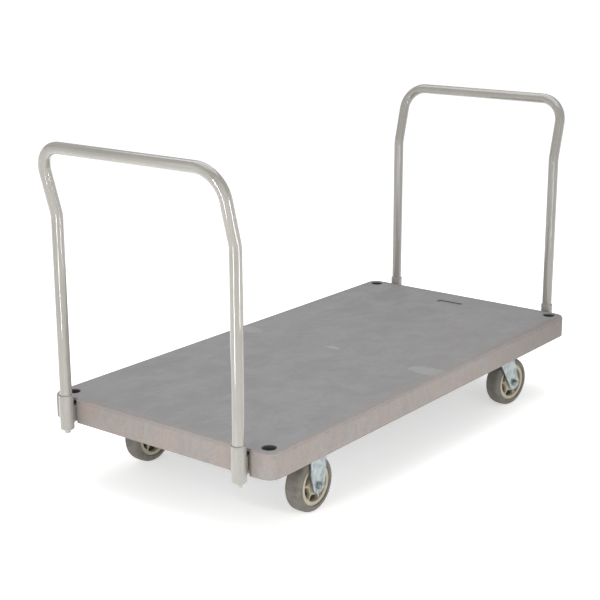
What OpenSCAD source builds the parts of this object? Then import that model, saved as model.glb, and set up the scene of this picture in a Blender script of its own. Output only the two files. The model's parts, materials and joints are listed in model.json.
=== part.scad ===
// Platform cart: a ribbed plastic deck on a bolted steel underframe, a lift-out
// bent-tube handle at each end, two rigid casters and two swivel casters.
// The origin is on the floor under the middle of the deck. +X points to the
// swivel-caster end, +Y to the left side and +Z up. At rest all wheels stand on
// Z = 0 and both handles are seated in their sockets.

/* [Deck] */
// Length of the deck
deck_len = 1524; // [1220:2:1830]
// Width of the deck
deck_wid = 762; // [610:2:920]
// Height of the deck, from its bottom edge to its top face
deck_thk = 66; // [63:0.5:80]
// Thickness of the top skin
skin_t = 8; // [5:0.5:11]
// Thickness of the skirt round the deck
skirt_t = 9; // [6:0.5:14]
// Radius of the deck's corners, seen from above
corner_r = 34; // [26:1:60]
// Radius that rounds the top edge
edge_r = 10; // [5:1:14]
// Thickness of the ribs under the skin
rib_t = 6; // [4:0.5:9]
// Largest distance between ribs
rib_pitch = 140; // [100:5:155]
// Gap between the ribs' lower edges and the deck's bottom edge
rib_lift = 3; // [0:0.5:10]
// Diameter of the stake hole in each corner
stake_d = 34; // [20:1:38]
// Distance of a stake hole's centre from the two nearest edges
stake_inset = 42; // [38:1:60]
// Width of the bevel at a stake hole's mouth
stake_bevel = 2.5; // [0.5:0.5:4]
// Wall round a stake hole
stake_wall = 6; // [4:0.5:12]
// Diameter of the bosses that take the deck screws
boss_d = 24; // [16:1:30]

/* [Finger recess] */
// Length of the recess, across the deck
recess_len = 90; // [60:2:140]
// Width of the recess, along the deck
recess_wid = 26; // [16:1:40]
// Depth of the recess
recess_deep = 3.5; // [1.5:0.5:4]
// Radius of the recess's corners
recess_r = 5; // [2:0.5:7.5]
// Distance of the recess's middle from the swivel end of the deck
recess_from_end = 105; // [70:5:200]

/* [Handles] */
// Outside diameter of the handle tube
tube_d = 31.75; // [25:0.25:38.5]
// Wall of the handle tube
tube_t = 2.1; // [1.5:0.1:3]
// Distance from a handle leg's axis to the deck's side
leg_inset = 83.4; // [76:0.2:110]
// Distance from a handle leg's axis to the deck's end face
post_out = 22; // [21.6:0.2:26]
// Height above the deck at which the legs bend outwards
kink_h = 499.5; // [300:0.5:700]
// Angle at which the upper part leans outwards
lean = 15.1; // [5:0.1:30]
// Length of the leaning part, from the bend to the top bar's axis
lean_len = 191; // [170:1:260]
// Centreline radius of the outward bend
kink_r = 85; // [60:1:120]
// Centreline radius of the corner bends
bend_r = 74; // [50:1:100]
// Length of the threaded plug in a leg's lower end
plug_len = 22; // [14:1:40]

/* [Sockets] */
// Wall of a socket tube
socket_t = 2.8; // [2:0.1:3.4]
// Gap between a handle leg and its socket
leg_gap = 0.375; // [0.3:0.025:0.6]
// Height of a socket's rim above the deck
socket_rise = 17; // [8:0.5:40]
// Length of a socket's straight part below the deck's bottom edge
socket_drop = 10; // [8:0.5:30]
// Height of the tapered foot of a socket
foot_h = 6; // [5:0.5:12]
// Diameter at the bottom of the tapered foot
foot_d = 25; // [22:0.5:30]
// Thickness of the floor inside a socket
socket_floor = 13; // [9:0.5:18]
// Length of the tongue inside a side rail
tongue_len = 56; // [50:1:80]
// Wall of the tongue
tongue_t = 3; // [2:0.25:4]

/* [Underframe] */
// Height of a side rail
rail_h = 50.8; // [46:0.2:51]
// Width of a side rail
rail_w = 25.4; // [22:0.2:30]
// Wall of a side rail
rail_t = 3; // [2:0.25:4]
// Width of a cross member
cross_w = 38.1; // [30:0.1:45]
// Height of a cross member
cross_h = 25.4; // [20:0.2:30]
// Wall of a cross member
cross_t = 2.5; // [1.5:0.25:3]
// Thickness of the wing plates beside the rails
wing_t = 6.35; // [4:0.05:8]

/* [Casters] */
// Diameter of a wheel
wheel_d = 152.4; // [125:0.2:160]
// Width of a wheel's tread
wheel_w = 50.8; // [38:0.2:52]
// Height of a caster, from the floor to the top of its plate
caster_h = 190.5; // [185:0.5:240]
// Length of a caster plate, along the deck
plate_len = 114.3; // [110:0.1:125]
// Width of a caster plate, across the deck
plate_wid = 101.6; // [98:0.1:110]
// Thickness of a caster plate
plate_t = 6.35; // [5:0.05:8]
// Distance between bolt holes along the deck
hole_len = 92.1; // [88:0.1:96]
// Distance between bolt holes across the deck
hole_wid = 76.2; // [72:0.1:80]
// Distance from a caster's middle to the deck's end
caster_inset_x = 267; // [200:1:300]
// Distance from a caster's middle to the deck's side
caster_inset_y = 95; // [88:1:110]
// Distance from a swivel caster's kingpin to its wheel's axle
trail = 38.1; // [30:0.1:45]
// Angle to which the right-hand swivel caster is turned at rest
yaw_right = -9.4; // [-180:0.1:180]
// Angle to which the left-hand swivel caster is turned at rest
yaw_left = -6; // [-180:0.1:180]
// Thickness of the fork's sheet
fork_t = 5; // [4:0.25:6]
// Width of a fork's leg at the top
fork_wid = 62; // [54:1:68]
// Radius of a fork's tip round the axle
fork_tip_r = 22.5; // [18:0.5:25]

/* [Wheel] */
// Diameter of the wheel core's outer rim, where the tyre starts
core_d = 114; // [90:1:124]
// Thickness of the core's rim
core_rim_t = 11; // [4:0.5:12]
// Thickness of the core's web
web_t = 9; // [5:0.5:14]
// Outside diameter of the hub
hub_d = 42; // [34:1:50]
// Length of the hub
hub_len = 57; // [53:0.5:60]
// Diameter of the flange round the hub
flange_d = 56; // [52:1:58]
// Length of the flange, from face to face
flange_len = 40; // [12:1:44]
// Number of spokes on each face of the web
spoke_count = 6; // [5:1:8]
// Thickness of a spoke
spoke_t = 5; // [3:0.5:8]
// Radius that rounds the tyre's shoulders
shoulder_r = 9; // [4:0.5:14]
// Diameter of the axle bolt
axle_d = 12.7; // [10:0.1:14]
// Outside diameter of the bushing that the wheel turns on
bushing_d = 19; // [17:0.1:20]
// Diameter of a bearing roller
roller_d = 4.3; // [3:0.1:5]
// Number of bearing rollers
roller_count = 10; // [8:1:10]

/* [Hidden] */
$fn = 96;

LEFT = 1;
RIGHT = -1;
FAR = 1;
NEAR = -1;

// Colours
plastic_grey = "#9c9794";
paint_grey = "#c4c0b8";
zinc = "#c9d2d6";
steel_black = "#4a4b4d";
core_tan = "#c3bb98";
rubber_grey = "#6f6a64";

// How far a cutting shape passes the face that it cuts
over = 1;

// Levels
deck_bottom = caster_h;
deck_top = deck_bottom + deck_thk;
axle_z = wheel_d / 2;

// Places
leg_y = deck_wid / 2 - leg_inset;
post_x = deck_len / 2 + post_out;
caster_x = deck_len / 2 - caster_inset_x;
caster_y = deck_wid / 2 - caster_inset_y;

// Rails run under the skin, in line with the sockets
rail_top = deck_bottom + rail_h;
rail_end_gap = 5;
rail_end = deck_len / 2 - skirt_t - rail_end_gap;
frame_clear = 1.5;
plate_clear = 3;
caster_bolt_room = 24;
cross_bolt_room = 10;
screw_tip_gap = 0.5;

// Sockets
socket_r = tube_d / 2 + leg_gap + socket_t;
socket_bore_r = tube_d / 2 + leg_gap;
socket_low = deck_bottom - socket_drop - foot_h;
leg_low = socket_low + socket_floor;
tongue_gap = 0.2;
tongue_h = rail_h - 2 * rail_t - 2 * tongue_gap;
tongue_w = rail_w - 2 * rail_t - 2 * tongue_gap;
notch_gap = 4.5;
notch_w = tongue_w + 2 * notch_gap;
cross_bolt_step = 17;
cross_gap = 4;
cross_x = rail_end - tongue_len - cross_w / 2 - cross_gap;
tongue_solid = socket_r + 4;

// Handles
kink_z = deck_top + kink_h;
kink_cut = kink_r * tan(lean / 2);
tube_r = tube_d / 2;
bore_r = tube_r - tube_t;
bend_thin = 0.05;
lap = 0.5;

// Fasteners: shank diameter, head width across flats, head height
cross_bolt = [8, 13, 5.3];
handle_bolt = [9.525, 14.3, 6.2];
caster_bolt = [9.525, 14.3, 6.1];
axle_bolt = [axle_d, 19, 8];
kingpin_af = 19;
// Heights of the nuts, and lengths of bolt past the face that a nut sits on
cross_nut_h = 6.5;
caster_nut_h = 8.3;
axle_nut_h = 10.5;
kingpin_nut_h = 10.7;
cross_bolt_end = 9;
caster_bolt_end = 10.5;
axle_bolt_end = 13;
kingpin_end = 13;
kingpin_nut_gap = 0.3;
handle_bolt_short = 2;
screw_d = 5.5;
screw_head_d = 11;
screw_head_h = 3.5;
screw_bite = 10;
screw_spread = 150;
washer_t = 1.6;
handle_washer_d = 17;
caster_washer_d = 18;
hole_gap = 0.4;
thread_gap = 0.05;
plug_gap = 0.35;

// Caster details
plate_r = 6;
side_gap = 0.5;
fork_in = hub_len + 2 * side_gap;
fork_out = fork_in + 2 * fork_t;
rigid_knee = 28;
swivel_knee = 20;
race_r = 29;
ball_r = 3.97;
ball_count = 16;
race_gap = 0.15;
race_boss_h = 4;
race_open = 5;
race_rim = 1.5;
crown_top = caster_h - plate_t - race_boss_h - race_open;
crown_r = 38;
cup_t = 2;
cup_gap = 1.5;
kingpin_d = 12.7;
pin_gap = 0.05;
cage_gap = 0.05;
roller_gap = 0.1;
bearing_r = bushing_d / 2 + roller_d + 2 * cage_gap + roller_gap;

// Wheel details
rim_inset = 3;
spoke_inset = 2;
spoke_root = 3;
cage_inset = 2;
cage_end = 4;

// Diameter across the corners of a hexagon whose flats are af apart
function hex_d(af) = af / cos(30);

// Point where the line from p touches the circle at c with radius r, on side s
function tangent_point(p, c, r, s) =
    let (d = c - p, dist = norm(d), a = atan2(d[1], d[0]), b = asin(r / dist))
    p + sqrt(dist * dist - r * r) * [cos(a + s * b), sin(a + s * b)];

// ---------- shared shapes ----------

module rounded_plate(len, wid, r, h) {
    linear_extrude(h) union() {
        square([len - 2 * r, wid], center = true);
        square([len, wid - 2 * r], center = true);
        for (x = [-1, 1], y = [-1, 1])
            translate([x * (len / 2 - r), y * (wid / 2 - r)]) circle(r);
    }
}

module hex_bolt(size, len) {
    cylinder(d = size[0], h = len);
    translate([0, 0, -size[2]]) cylinder(d = hex_d(size[1]), h = size[2], $fn = 6);
}

module hex_nut(size, h) {
    difference() {
        cylinder(d = hex_d(size[1]), h = h, $fn = 6);
        translate([0, 0, -over]) cylinder(d = size[0] + 2 * thread_gap, h = h + 2 * over);
    }
}

module washer(size, out_d) {
    difference() {
        cylinder(d = out_d, h = washer_t);
        translate([0, 0, -over]) cylinder(d = size[0] + hole_gap, h = washer_t + 2 * over);
    }
}

module box_tube(len, wid, h, t) {
    difference() {
        translate([-len / 2, -wid / 2, 0]) cube([len, wid, h]);
        translate([-len / 2 - over, -wid / 2 + t, t]) cube([len + 2 * over, wid - 2 * t, h - 2 * t]);
    }
}

// ---------- deck ----------

// Half of the deck's section, from the axis of a corner outwards
module edge_profile() {
    square([corner_r - edge_r, deck_thk]);
    square([corner_r, deck_thk - edge_r]);
    translate([corner_r - edge_r, deck_thk - edge_r]) circle(edge_r);
}

module deck_outside() {
    flat_len = deck_len - 2 * corner_r;
    flat_wid = deck_wid - 2 * corner_r;
    translate([-flat_len / 2, -flat_wid / 2, 0]) cube([flat_len, flat_wid, deck_thk]);
    for (turn = [0, 180]) rotate([0, 0, turn]) {
        translate([flat_len / 2, flat_wid / 2, 0]) {
            rotate_extrude(angle = 90) edge_profile();
            rotate([90, 0, 0]) linear_extrude(flat_wid) edge_profile();
        }
        translate([-flat_len / 2, flat_wid / 2, 0]) {
            rotate([0, 0, 90]) rotate_extrude(angle = 90) edge_profile();
            rotate([90, 0, 90]) linear_extrude(flat_len) edge_profile();
        }
    }
}

module deck_ribs() {
    in_len = deck_len - 2 * skirt_t;
    in_wid = deck_wid - 2 * skirt_t;
    bays_x = 2 * floor(ceil(in_len / rib_pitch) / 2) + 1;
    bays_y = 2 * ceil(in_wid / rib_pitch / 2);
    h = deck_thk - skin_t - rib_lift + over;
    for (i = [1 : bays_x - 1])
        translate([-in_len / 2 + i * in_len / bays_x - rib_t / 2, -in_wid / 2 - over, rib_lift])
            cube([rib_t, in_wid + 2 * over, h]);
    for (i = [1 : bays_y - 1])
        translate([-in_len / 2 - over, -in_wid / 2 + i * in_wid / bays_y - rib_t / 2, rib_lift])
            cube([in_len + 2 * over, rib_t, h]);
}

module at_stakes() {
    for (x = [-1, 1], y = [-1, 1])
        translate([x * (deck_len / 2 - stake_inset), y * (deck_wid / 2 - stake_inset), 0])
            children();
}

module at_deck_screws() {
    for (x = [-cross_x, 0, cross_x], y = [-screw_spread, 0, screw_spread])
        translate([x, y, 0]) children();
}

// Hollow under the skin, less the ribs, the stake-hole walls and the screw bosses
module deck_hollow() {
    in_h = deck_thk - skin_t;
    difference() {
        translate([0, 0, -over])
            rounded_plate(deck_len - 2 * skirt_t, deck_wid - 2 * skirt_t, corner_r - skirt_t, in_h + over);
        deck_ribs();
        at_stakes() translate([0, 0, -2 * over]) cylinder(d = stake_d + 2 * stake_wall, h = deck_thk);
        at_deck_screws() translate([0, 0, rail_h]) cylinder(d = boss_d, h = deck_thk);
    }
}

// Room for the underframe and its bolts where they cross the ribs
module frame_room() {
    rail_room = [2 * (rail_end + frame_clear), rail_w + 2 * frame_clear, rail_h + over];
    cross_room = [cross_w + 2 * frame_clear, 2 * leg_y, rail_h + over];
    plate_room = [plate_len + 2 * plate_clear, plate_wid + 2 * plate_clear, caster_bolt_room];
    for (y = [LEFT, RIGHT])
        translate([-rail_room[0] / 2, y * leg_y - rail_room[1] / 2, -over]) cube(rail_room);
    for (x = [-cross_x, 0, cross_x])
        translate([x - cross_room[0] / 2, -leg_y, -over]) cube(cross_room);
    for (x = [-caster_x, caster_x], y = [-caster_y, caster_y])
        translate([x - plate_room[0] / 2, y - plate_room[1] / 2, -over]) cube(plate_room);
    for (y = [LEFT, RIGHT])
        translate([0, 0, -deck_bottom]) at_cross_bolts(y) rotate([90, 0, 0])
            cylinder(d = hex_d(cross_bolt[1]) + 2 * frame_clear, h = rail_w + 2 * cross_bolt_room,
                center = true);
}

module recess_cut() {
    translate([deck_len / 2 - recess_from_end, 0, deck_thk - recess_deep])
        rounded_plate(recess_wid, recess_len, recess_r, recess_deep + over);
}

module deck_shell() {
    color(plastic_grey) translate([0, 0, deck_bottom]) difference() {
        deck_outside();
        deck_hollow();
        frame_room();
        at_stakes() {
            translate([0, 0, -over]) cylinder(d = stake_d, h = deck_thk + 2 * over);
            translate([0, 0, deck_thk - stake_bevel])
                cylinder(d1 = stake_d, d2 = stake_d + 2 * (stake_bevel + over), h = stake_bevel + over);
        }
        for (x = [-1, 1], y = [-1, 1])
            translate([x * deck_len / 2, y * leg_y, 0])
                translate([-skirt_t, -notch_w / 2, -over])
                    cube([2 * skirt_t, notch_w, deck_thk + 2 * over]);
        at_deck_screws() translate([0, 0, rail_h - over])
            cylinder(d = screw_d, h = over + screw_bite + screw_tip_gap);
        recess_cut();
    }
}

module deck_screws() {
    color(zinc) at_deck_screws() translate([0, 0, rail_top - cross_h]) {
        cylinder(d = screw_d, h = cross_h + screw_bite);
        translate([0, 0, -screw_head_h]) cylinder(d = screw_head_d, h = screw_head_h);
    }
}

// ---------- underframe ----------

// Cross bolts pass sideways through a rail and the tongue inside it
module at_cross_bolts(y_side) {
    for (x = [-1, 1], i = [1, 2])
        translate([x * (rail_end - i * cross_bolt_step), y_side * leg_y, deck_bottom + rail_h / 2])
            children();
}

module side_rail(y_side) {
    color(steel_black) difference() {
        translate([0, y_side * leg_y, deck_bottom]) box_tube(2 * rail_end, rail_w, rail_h, rail_t);
        at_cross_bolts(y_side) rotate([90, 0, 0])
            cylinder(d = cross_bolt[0] + hole_gap, h = rail_w + 2 * over, center = true);
    }
}

module cross_member(x) {
    len = 2 * leg_y - rail_w;
    color(steel_black) difference() {
        translate([x, 0, rail_top - cross_h]) rotate([0, 0, 90]) box_tube(len, cross_w, cross_h, cross_t);
        for (y = [-screw_spread, 0, screw_spread])
            translate([x, y, rail_top - cross_h - over])
                cylinder(d = screw_d + hole_gap, h = cross_h + 2 * over);
    }
}

module at_caster_holes(x, y) {
    for (i = [-1, 1], j = [-1, 1])
        translate([x + i * hole_len / 2, y + j * hole_wid / 2, 0]) children();
}

module at_all_casters() {
    for (x = [-caster_x, caster_x], y = [-caster_y, caster_y]) at_caster_holes(x, y) children();
}

// A plate on each side of the rail, flush with its underside, takes the caster's bolts
module caster_wing_plates() {
    color(steel_black) difference() {
        for (x = [-caster_x, caster_x], s = [LEFT, RIGHT]) {
            inner = caster_y - plate_wid / 2;
            outer = caster_y + plate_wid / 2;
            for (edges = [[inner, leg_y - rail_w / 2], [leg_y + rail_w / 2, outer]]) {
                mid = s * (edges[0] + edges[1]) / 2;
                wid = edges[1] - edges[0];
                translate([x - plate_len / 2, mid - wid / 2, deck_bottom]) cube([plate_len, wid, wing_t]);
            }
        }
        at_all_casters() translate([0, 0, deck_bottom - over])
            cylinder(d = caster_bolt[0] + hole_gap, h = wing_t + 2 * over);
    }
}

// ---------- sockets ----------

// A socket with its tongue pointing into the end of its rail: along +X at the near end,
// and turned half round at the far end
module socket(x_side, y_side) {
    reach = post_out + skirt_t + rail_end_gap + tongue_len;
    tongue_low = deck_bottom + rail_t + tongue_gap;
    bolt_x = post_out + skirt_t + rail_end_gap;
    color(paint_grey) translate([x_side * post_x, y_side * leg_y, 0])
        rotate([0, 0, x_side == FAR ? 180 : 0]) difference() {
            union() {
                translate([0, 0, socket_low]) cylinder(d1 = foot_d, r2 = socket_r, h = foot_h);
                translate([0, 0, socket_low + foot_h])
                    cylinder(r = socket_r, h = deck_top + socket_rise - socket_low - foot_h);
                translate([0, -tongue_w / 2, tongue_low]) cube([reach, tongue_w, tongue_h]);
            }
            translate([0, 0, leg_low]) cylinder(r = socket_bore_r, h = deck_top + socket_rise);
            translate([0, 0, socket_low - over])
                cylinder(d = handle_bolt[0] + hole_gap, h = socket_floor + 2 * over);
            translate([tongue_solid, -tongue_w / 2 + tongue_t, tongue_low + tongue_t])
                cube([reach, tongue_w - 2 * tongue_t, tongue_h - 2 * tongue_t]);
            for (i = [1, 2])
                translate([bolt_x + i * cross_bolt_step, 0, deck_bottom + rail_h / 2]) rotate([90, 0, 0])
                    cylinder(d = cross_bolt[0] + hole_gap, h = tongue_w + 2 * over, center = true);
        }
}

// Bolt heads face the deck's sides and the nuts face its middle
module socket_cross_bolts() {
    color(zinc) for (s = [LEFT, RIGHT]) at_cross_bolts(s)
        translate([0, s * rail_w / 2, 0]) rotate([s * 90, 0, 0])
            hex_bolt(cross_bolt, rail_w + cross_bolt_end);
}

module socket_cross_nuts() {
    color(zinc) for (s = [LEFT, RIGHT]) at_cross_bolts(s)
        translate([0, -s * rail_w / 2, 0]) rotate([s * 90, 0, 0]) hex_nut(cross_bolt, cross_nut_h);
}

module at_posts() {
    for (x = [NEAR, FAR], y = [LEFT, RIGHT]) translate([x * post_x, y * leg_y, 0]) children();
}

module handle_retaining_bolts() {
    color(zinc) at_posts() translate([0, 0, socket_low - washer_t])
        hex_bolt(handle_bolt, washer_t + socket_floor + plug_len - handle_bolt_short);
}

module handle_lock_washers() {
    color(zinc) at_posts() translate([0, 0, socket_low - washer_t]) washer(handle_bolt, handle_washer_d);
}

// ---------- handles ----------

// Everything inside radius r of the handle's centreline, for the leg at +Y and half the bar.
// Straight stretches reach a little into the bends, which are drawn down by a hair.
module half_handle(r, low) {
    bent_r = r - bend_thin;
    straight = kink_z - kink_cut - low;
    upper = lean_len - bend_r - kink_cut;
    half_bar = leg_y - bend_r;
    translate([0, leg_y, low]) cylinder(r = r, h = straight + lap);
    translate([kink_r, leg_y, kink_z - kink_cut]) rotate([90, 0, 0]) rotate([0, 0, 180 - lean])
        rotate_extrude(angle = lean) translate([kink_r, 0]) circle(bent_r);
    translate([0, 0, kink_z]) rotate([0, lean, 0]) {
        translate([0, leg_y, kink_cut - lap]) cylinder(r = r, h = upper + 2 * lap);
        translate([0, half_bar, lean_len - bend_r]) rotate([90, 0, 90])
            rotate_extrude(angle = 90) translate([bend_r, 0]) circle(bent_r);
        translate([0, 0, lean_len]) rotate([-90, 0, 0]) cylinder(r = r, h = half_bar + lap);
    }
}

module whole_handle(r, low) {
    half_handle(r, low);
    mirror([0, 1, 0]) half_handle(r, low);
}

module handle_tube(x_side) {
    color(paint_grey) rotate([0, 0, x_side == FAR ? 0 : 180]) translate([post_x, 0, 0]) difference() {
        whole_handle(tube_r, leg_low);
        whole_handle(bore_r, leg_low - over);
    }
}

module leg_plugs(x_side) {
    color(zinc) for (s = [LEFT, RIGHT]) translate([x_side * post_x, s * leg_y, leg_low]) difference() {
        cylinder(r = bore_r, h = plug_len);
        translate([0, 0, -over]) cylinder(r = handle_bolt[0] / 2 + plug_gap, h = plug_len + 2 * over);
    }
}

// ---------- casters ----------

module caster_bolts() {
    color(zinc) at_all_casters() translate([0, 0, caster_h - plate_t])
        hex_bolt(caster_bolt, plate_t + wing_t + washer_t + caster_bolt_end);
}

module caster_washers() {
    color(zinc) at_all_casters() translate([0, 0, deck_bottom + wing_t]) washer(caster_bolt, caster_washer_d);
}

module caster_nuts() {
    color(zinc) at_all_casters() translate([0, 0, deck_bottom + wing_t + washer_t])
        hex_nut(caster_bolt, caster_nut_h);
}

module caster_plate(x, y) {
    difference() {
        translate([x, y, caster_h - plate_t]) rounded_plate(plate_len, plate_wid, plate_r, plate_t);
        at_caster_holes(x, y) translate([0, 0, caster_h - plate_t - over])
            cylinder(d = caster_bolt[0] + hole_gap, h = plate_t + 2 * over);
    }
}

// Both legs of a fork: an outline from the level top to the tip round the axle at ax,
// with straight edges down to each knee
module fork_legs(top, ax, knee_back, knee_front) {
    c = [ax, axle_z];
    back = [-fork_wid / 2, knee_back];
    front = [fork_wid / 2, knee_front];
    tip_back = tangent_point(back, c, fork_tip_r, -1);
    tip_front = tangent_point(front, c, fork_tip_r, 1);
    difference() {
        for (s = [-1, 1]) translate([0, s * (fork_in + fork_t) / 2, 0]) rotate([90, 0, 0])
            translate([0, 0, -fork_t / 2]) linear_extrude(fork_t) union() {
                polygon([[-fork_wid / 2, top], back, tip_back, c, tip_front, front, [fork_wid / 2, top]]);
                translate(c) circle(fork_tip_r);
            }
        translate([ax, 0, axle_z]) rotate([90, 0, 0])
            cylinder(d = axle_d + hole_gap / 2, h = fork_out + 2 * over, center = true);
    }
}

module at_rigid(y_side) {
    translate([-caster_x, y_side * caster_y, 0]) children();
}

module rigid_plate(y_side) {
    color(zinc) caster_plate(-caster_x, y_side * caster_y);
}

module rigid_fork(y_side) {
    top = caster_h - plate_t;
    knee = axle_z + rigid_knee;
    color(zinc) at_rigid(y_side) {
        fork_legs(top, 0, knee, knee);
        translate([-fork_wid / 2, -fork_in / 2 - over, top - fork_t])
            cube([fork_wid, fork_in + 2 * over, fork_t]);
    }
}

// The axle's pieces for a wheel whose axle lies along Y at ax: out is the side of the nut
module axle_bolt_at(ax, out) {
    translate([ax, -out * fork_out / 2, axle_z]) rotate([-out * 90, 0, 0])
        hex_bolt(axle_bolt, fork_out + axle_bolt_end);
}

module axle_nut_at(ax, out) {
    translate([ax, out * fork_out / 2, axle_z]) rotate([-out * 90, 0, 0])
        hex_nut(axle_bolt, axle_nut_h);
}

module bushing_at(ax) {
    translate([ax, 0, axle_z]) rotate([90, 0, 0]) difference() {
        cylinder(d = bushing_d, h = fork_in, center = true);
        cylinder(d = axle_d + hole_gap / 2, h = fork_in + 2 * over, center = true);
    }
}

module rigid_axle_bolts() {
    color(zinc) for (s = [LEFT, RIGHT]) at_rigid(s) axle_bolt_at(0, s);
}

module rigid_axle_nuts() {
    color(zinc) for (s = [LEFT, RIGHT]) at_rigid(s) axle_nut_at(0, s);
}

module rigid_bushings() {
    color(zinc) for (s = [LEFT, RIGHT]) at_rigid(s) bushing_at(0);
}

// ---------- swivel casters ----------

module at_swivel(y_side) {
    translate([caster_x, y_side * caster_y, 0])
        rotate([0, 0, y_side == LEFT ? yaw_left : yaw_right]) children();
}

// Groove that the balls run in, cut half into each side of the race
module ball_groove() {
    translate([0, 0, crown_top + race_open / 2])
        rotate_extrude() translate([race_r, 0]) circle(ball_r + race_gap);
}

module swivel_plate(y_side) {
    color(zinc) difference() {
        union() {
            caster_plate(caster_x, y_side * caster_y);
            translate([caster_x, y_side * caster_y, crown_top + race_open])
                cylinder(r = race_r + ball_r + race_rim, h = race_boss_h + over);
        }
        translate([caster_x, y_side * caster_y, 0]) {
            ball_groove();
            translate([0, 0, crown_top]) cylinder(d = kingpin_d, h = caster_h);
        }
    }
}

module kingpins() {
    low = crown_top - fork_t - kingpin_end;
    color(zinc) for (s = [LEFT, RIGHT]) translate([caster_x, s * caster_y, low])
        cylinder(d = kingpin_d, h = caster_h - low);
}

module kingpin_nuts() {
    low = crown_top - fork_t - kingpin_nut_gap - kingpin_nut_h;
    color(zinc) for (s = [LEFT, RIGHT]) translate([caster_x, s * caster_y, low])
        hex_nut([kingpin_d, kingpin_af], kingpin_nut_h);
}

module swivel_fork(y_side) {
    color(zinc) at_swivel(y_side) difference() {
        union() {
            fork_legs(crown_top, trail, crown_top - swivel_knee, crown_top);
            translate([-fork_wid / 2, -fork_in / 2 - over, crown_top - fork_t])
                cube([fork_wid, fork_in + 2 * over, fork_t]);
            translate([0, 0, crown_top - fork_t]) cylinder(r = crown_r, h = fork_t);
        }
        ball_groove();
        translate([0, 0, crown_top - fork_t - over])
            cylinder(d = kingpin_d + 2 * pin_gap, h = fork_t + 2 * over);
    }
}

// Pressed ring on the fork that keeps the balls in and the dirt out
module ball_cup(y_side) {
    color(zinc) at_swivel(y_side) translate([0, 0, crown_top]) difference() {
        cylinder(r = crown_r, h = race_open + race_boss_h - cup_gap);
        translate([0, 0, -over]) cylinder(r = crown_r - cup_t, h = race_open + race_boss_h + over);
    }
}

module swivel_balls(y_side) {
    color(zinc) at_swivel(y_side) for (i = [0 : ball_count - 1])
        rotate([0, 0, i * 360 / ball_count]) translate([race_r, 0, crown_top + race_open / 2])
            sphere(ball_r);
}

module swivel_axle_bolt(y_side) {
    color(zinc) at_swivel(y_side) axle_bolt_at(trail, y_side);
}

module swivel_axle_nut(y_side) {
    color(zinc) at_swivel(y_side) axle_nut_at(trail, y_side);
}

module swivel_bushing(y_side) {
    color(zinc) at_swivel(y_side) bushing_at(trail);
}

// ---------- wheels ----------

// Puts a wheel, drawn with its axle on Z, on the axle at the given end and side
module at_wheel(x_side, y_side) {
    if (x_side == NEAR) at_rigid(y_side) translate([0, 0, axle_z]) rotate([90, 0, 0]) children();
    else at_swivel(y_side) translate([trail, 0, axle_z]) rotate([90, 0, 0]) children();
}

module wheel_core(x_side, y_side) {
    rim_r = core_d / 2;
    rim_w = wheel_w - 2 * rim_inset;
    hub_r = hub_d / 2;
    spoke_len = rim_r - core_rim_t - hub_r + spoke_root + over;
    spoke_h = rim_w - 2 * spoke_inset;
    color(core_tan) at_wheel(x_side, y_side) difference() {
        union() {
            difference() {
                cylinder(r = rim_r, h = rim_w, center = true);
                cylinder(r = rim_r - core_rim_t, h = rim_w + 2 * over, center = true);
            }
            cylinder(r = rim_r - over, h = web_t, center = true);
            cylinder(r = hub_r, h = hub_len, center = true);
            cylinder(d = flange_d, h = flange_len, center = true);
            for (i = [0 : spoke_count - 1]) rotate([0, 0, i * 360 / spoke_count])
                translate([hub_r - spoke_root, -spoke_t / 2, -spoke_h / 2])
                    cube([spoke_len, spoke_t, spoke_h]);
        }
        cylinder(r = bearing_r, h = hub_len + 2 * over, center = true);
    }
}

module tyre(x_side, y_side) {
    out_r = wheel_d / 2;
    color(rubber_grey) at_wheel(x_side, y_side) rotate_extrude() difference() {
        union() {
            translate([0, -wheel_w / 2]) square([out_r - shoulder_r, wheel_w]);
            translate([0, -wheel_w / 2 + shoulder_r]) square([out_r, wheel_w - 2 * shoulder_r]);
            for (s = [-1, 1])
                translate([out_r - shoulder_r, s * (wheel_w / 2 - shoulder_r)]) circle(shoulder_r);
        }
        translate([-over, -wheel_w]) square([core_d / 2 + over, 2 * wheel_w]);
    }
}

// Cage that turns on the bushing, with a roller in each of its slots
module roller_bearing(x_side, y_side) {
    pitch_r = bushing_d / 2 + cage_gap + roller_gap + roller_d / 2;
    len = hub_len - 2 * cage_inset;
    roller_len = len - 2 * cage_end;
    slot = [roller_d + 2 * over, roller_d + 2 * roller_gap, roller_len + 2 * roller_gap];
    color(steel_black) at_wheel(x_side, y_side) {
        difference() {
            cylinder(r = bearing_r - cage_gap, h = len, center = true);
            cylinder(d = bushing_d + 2 * cage_gap, h = len + 2 * over, center = true);
            for (i = [0 : roller_count - 1]) rotate([0, 0, i * 360 / roller_count])
                translate([pitch_r, 0, 0]) cube(slot, center = true);
        }
        for (i = [0 : roller_count - 1]) rotate([0, 0, i * 360 / roller_count])
            translate([pitch_r, 0, 0]) cylinder(d = roller_d, h = roller_len, center = true);
    }
}

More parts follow.
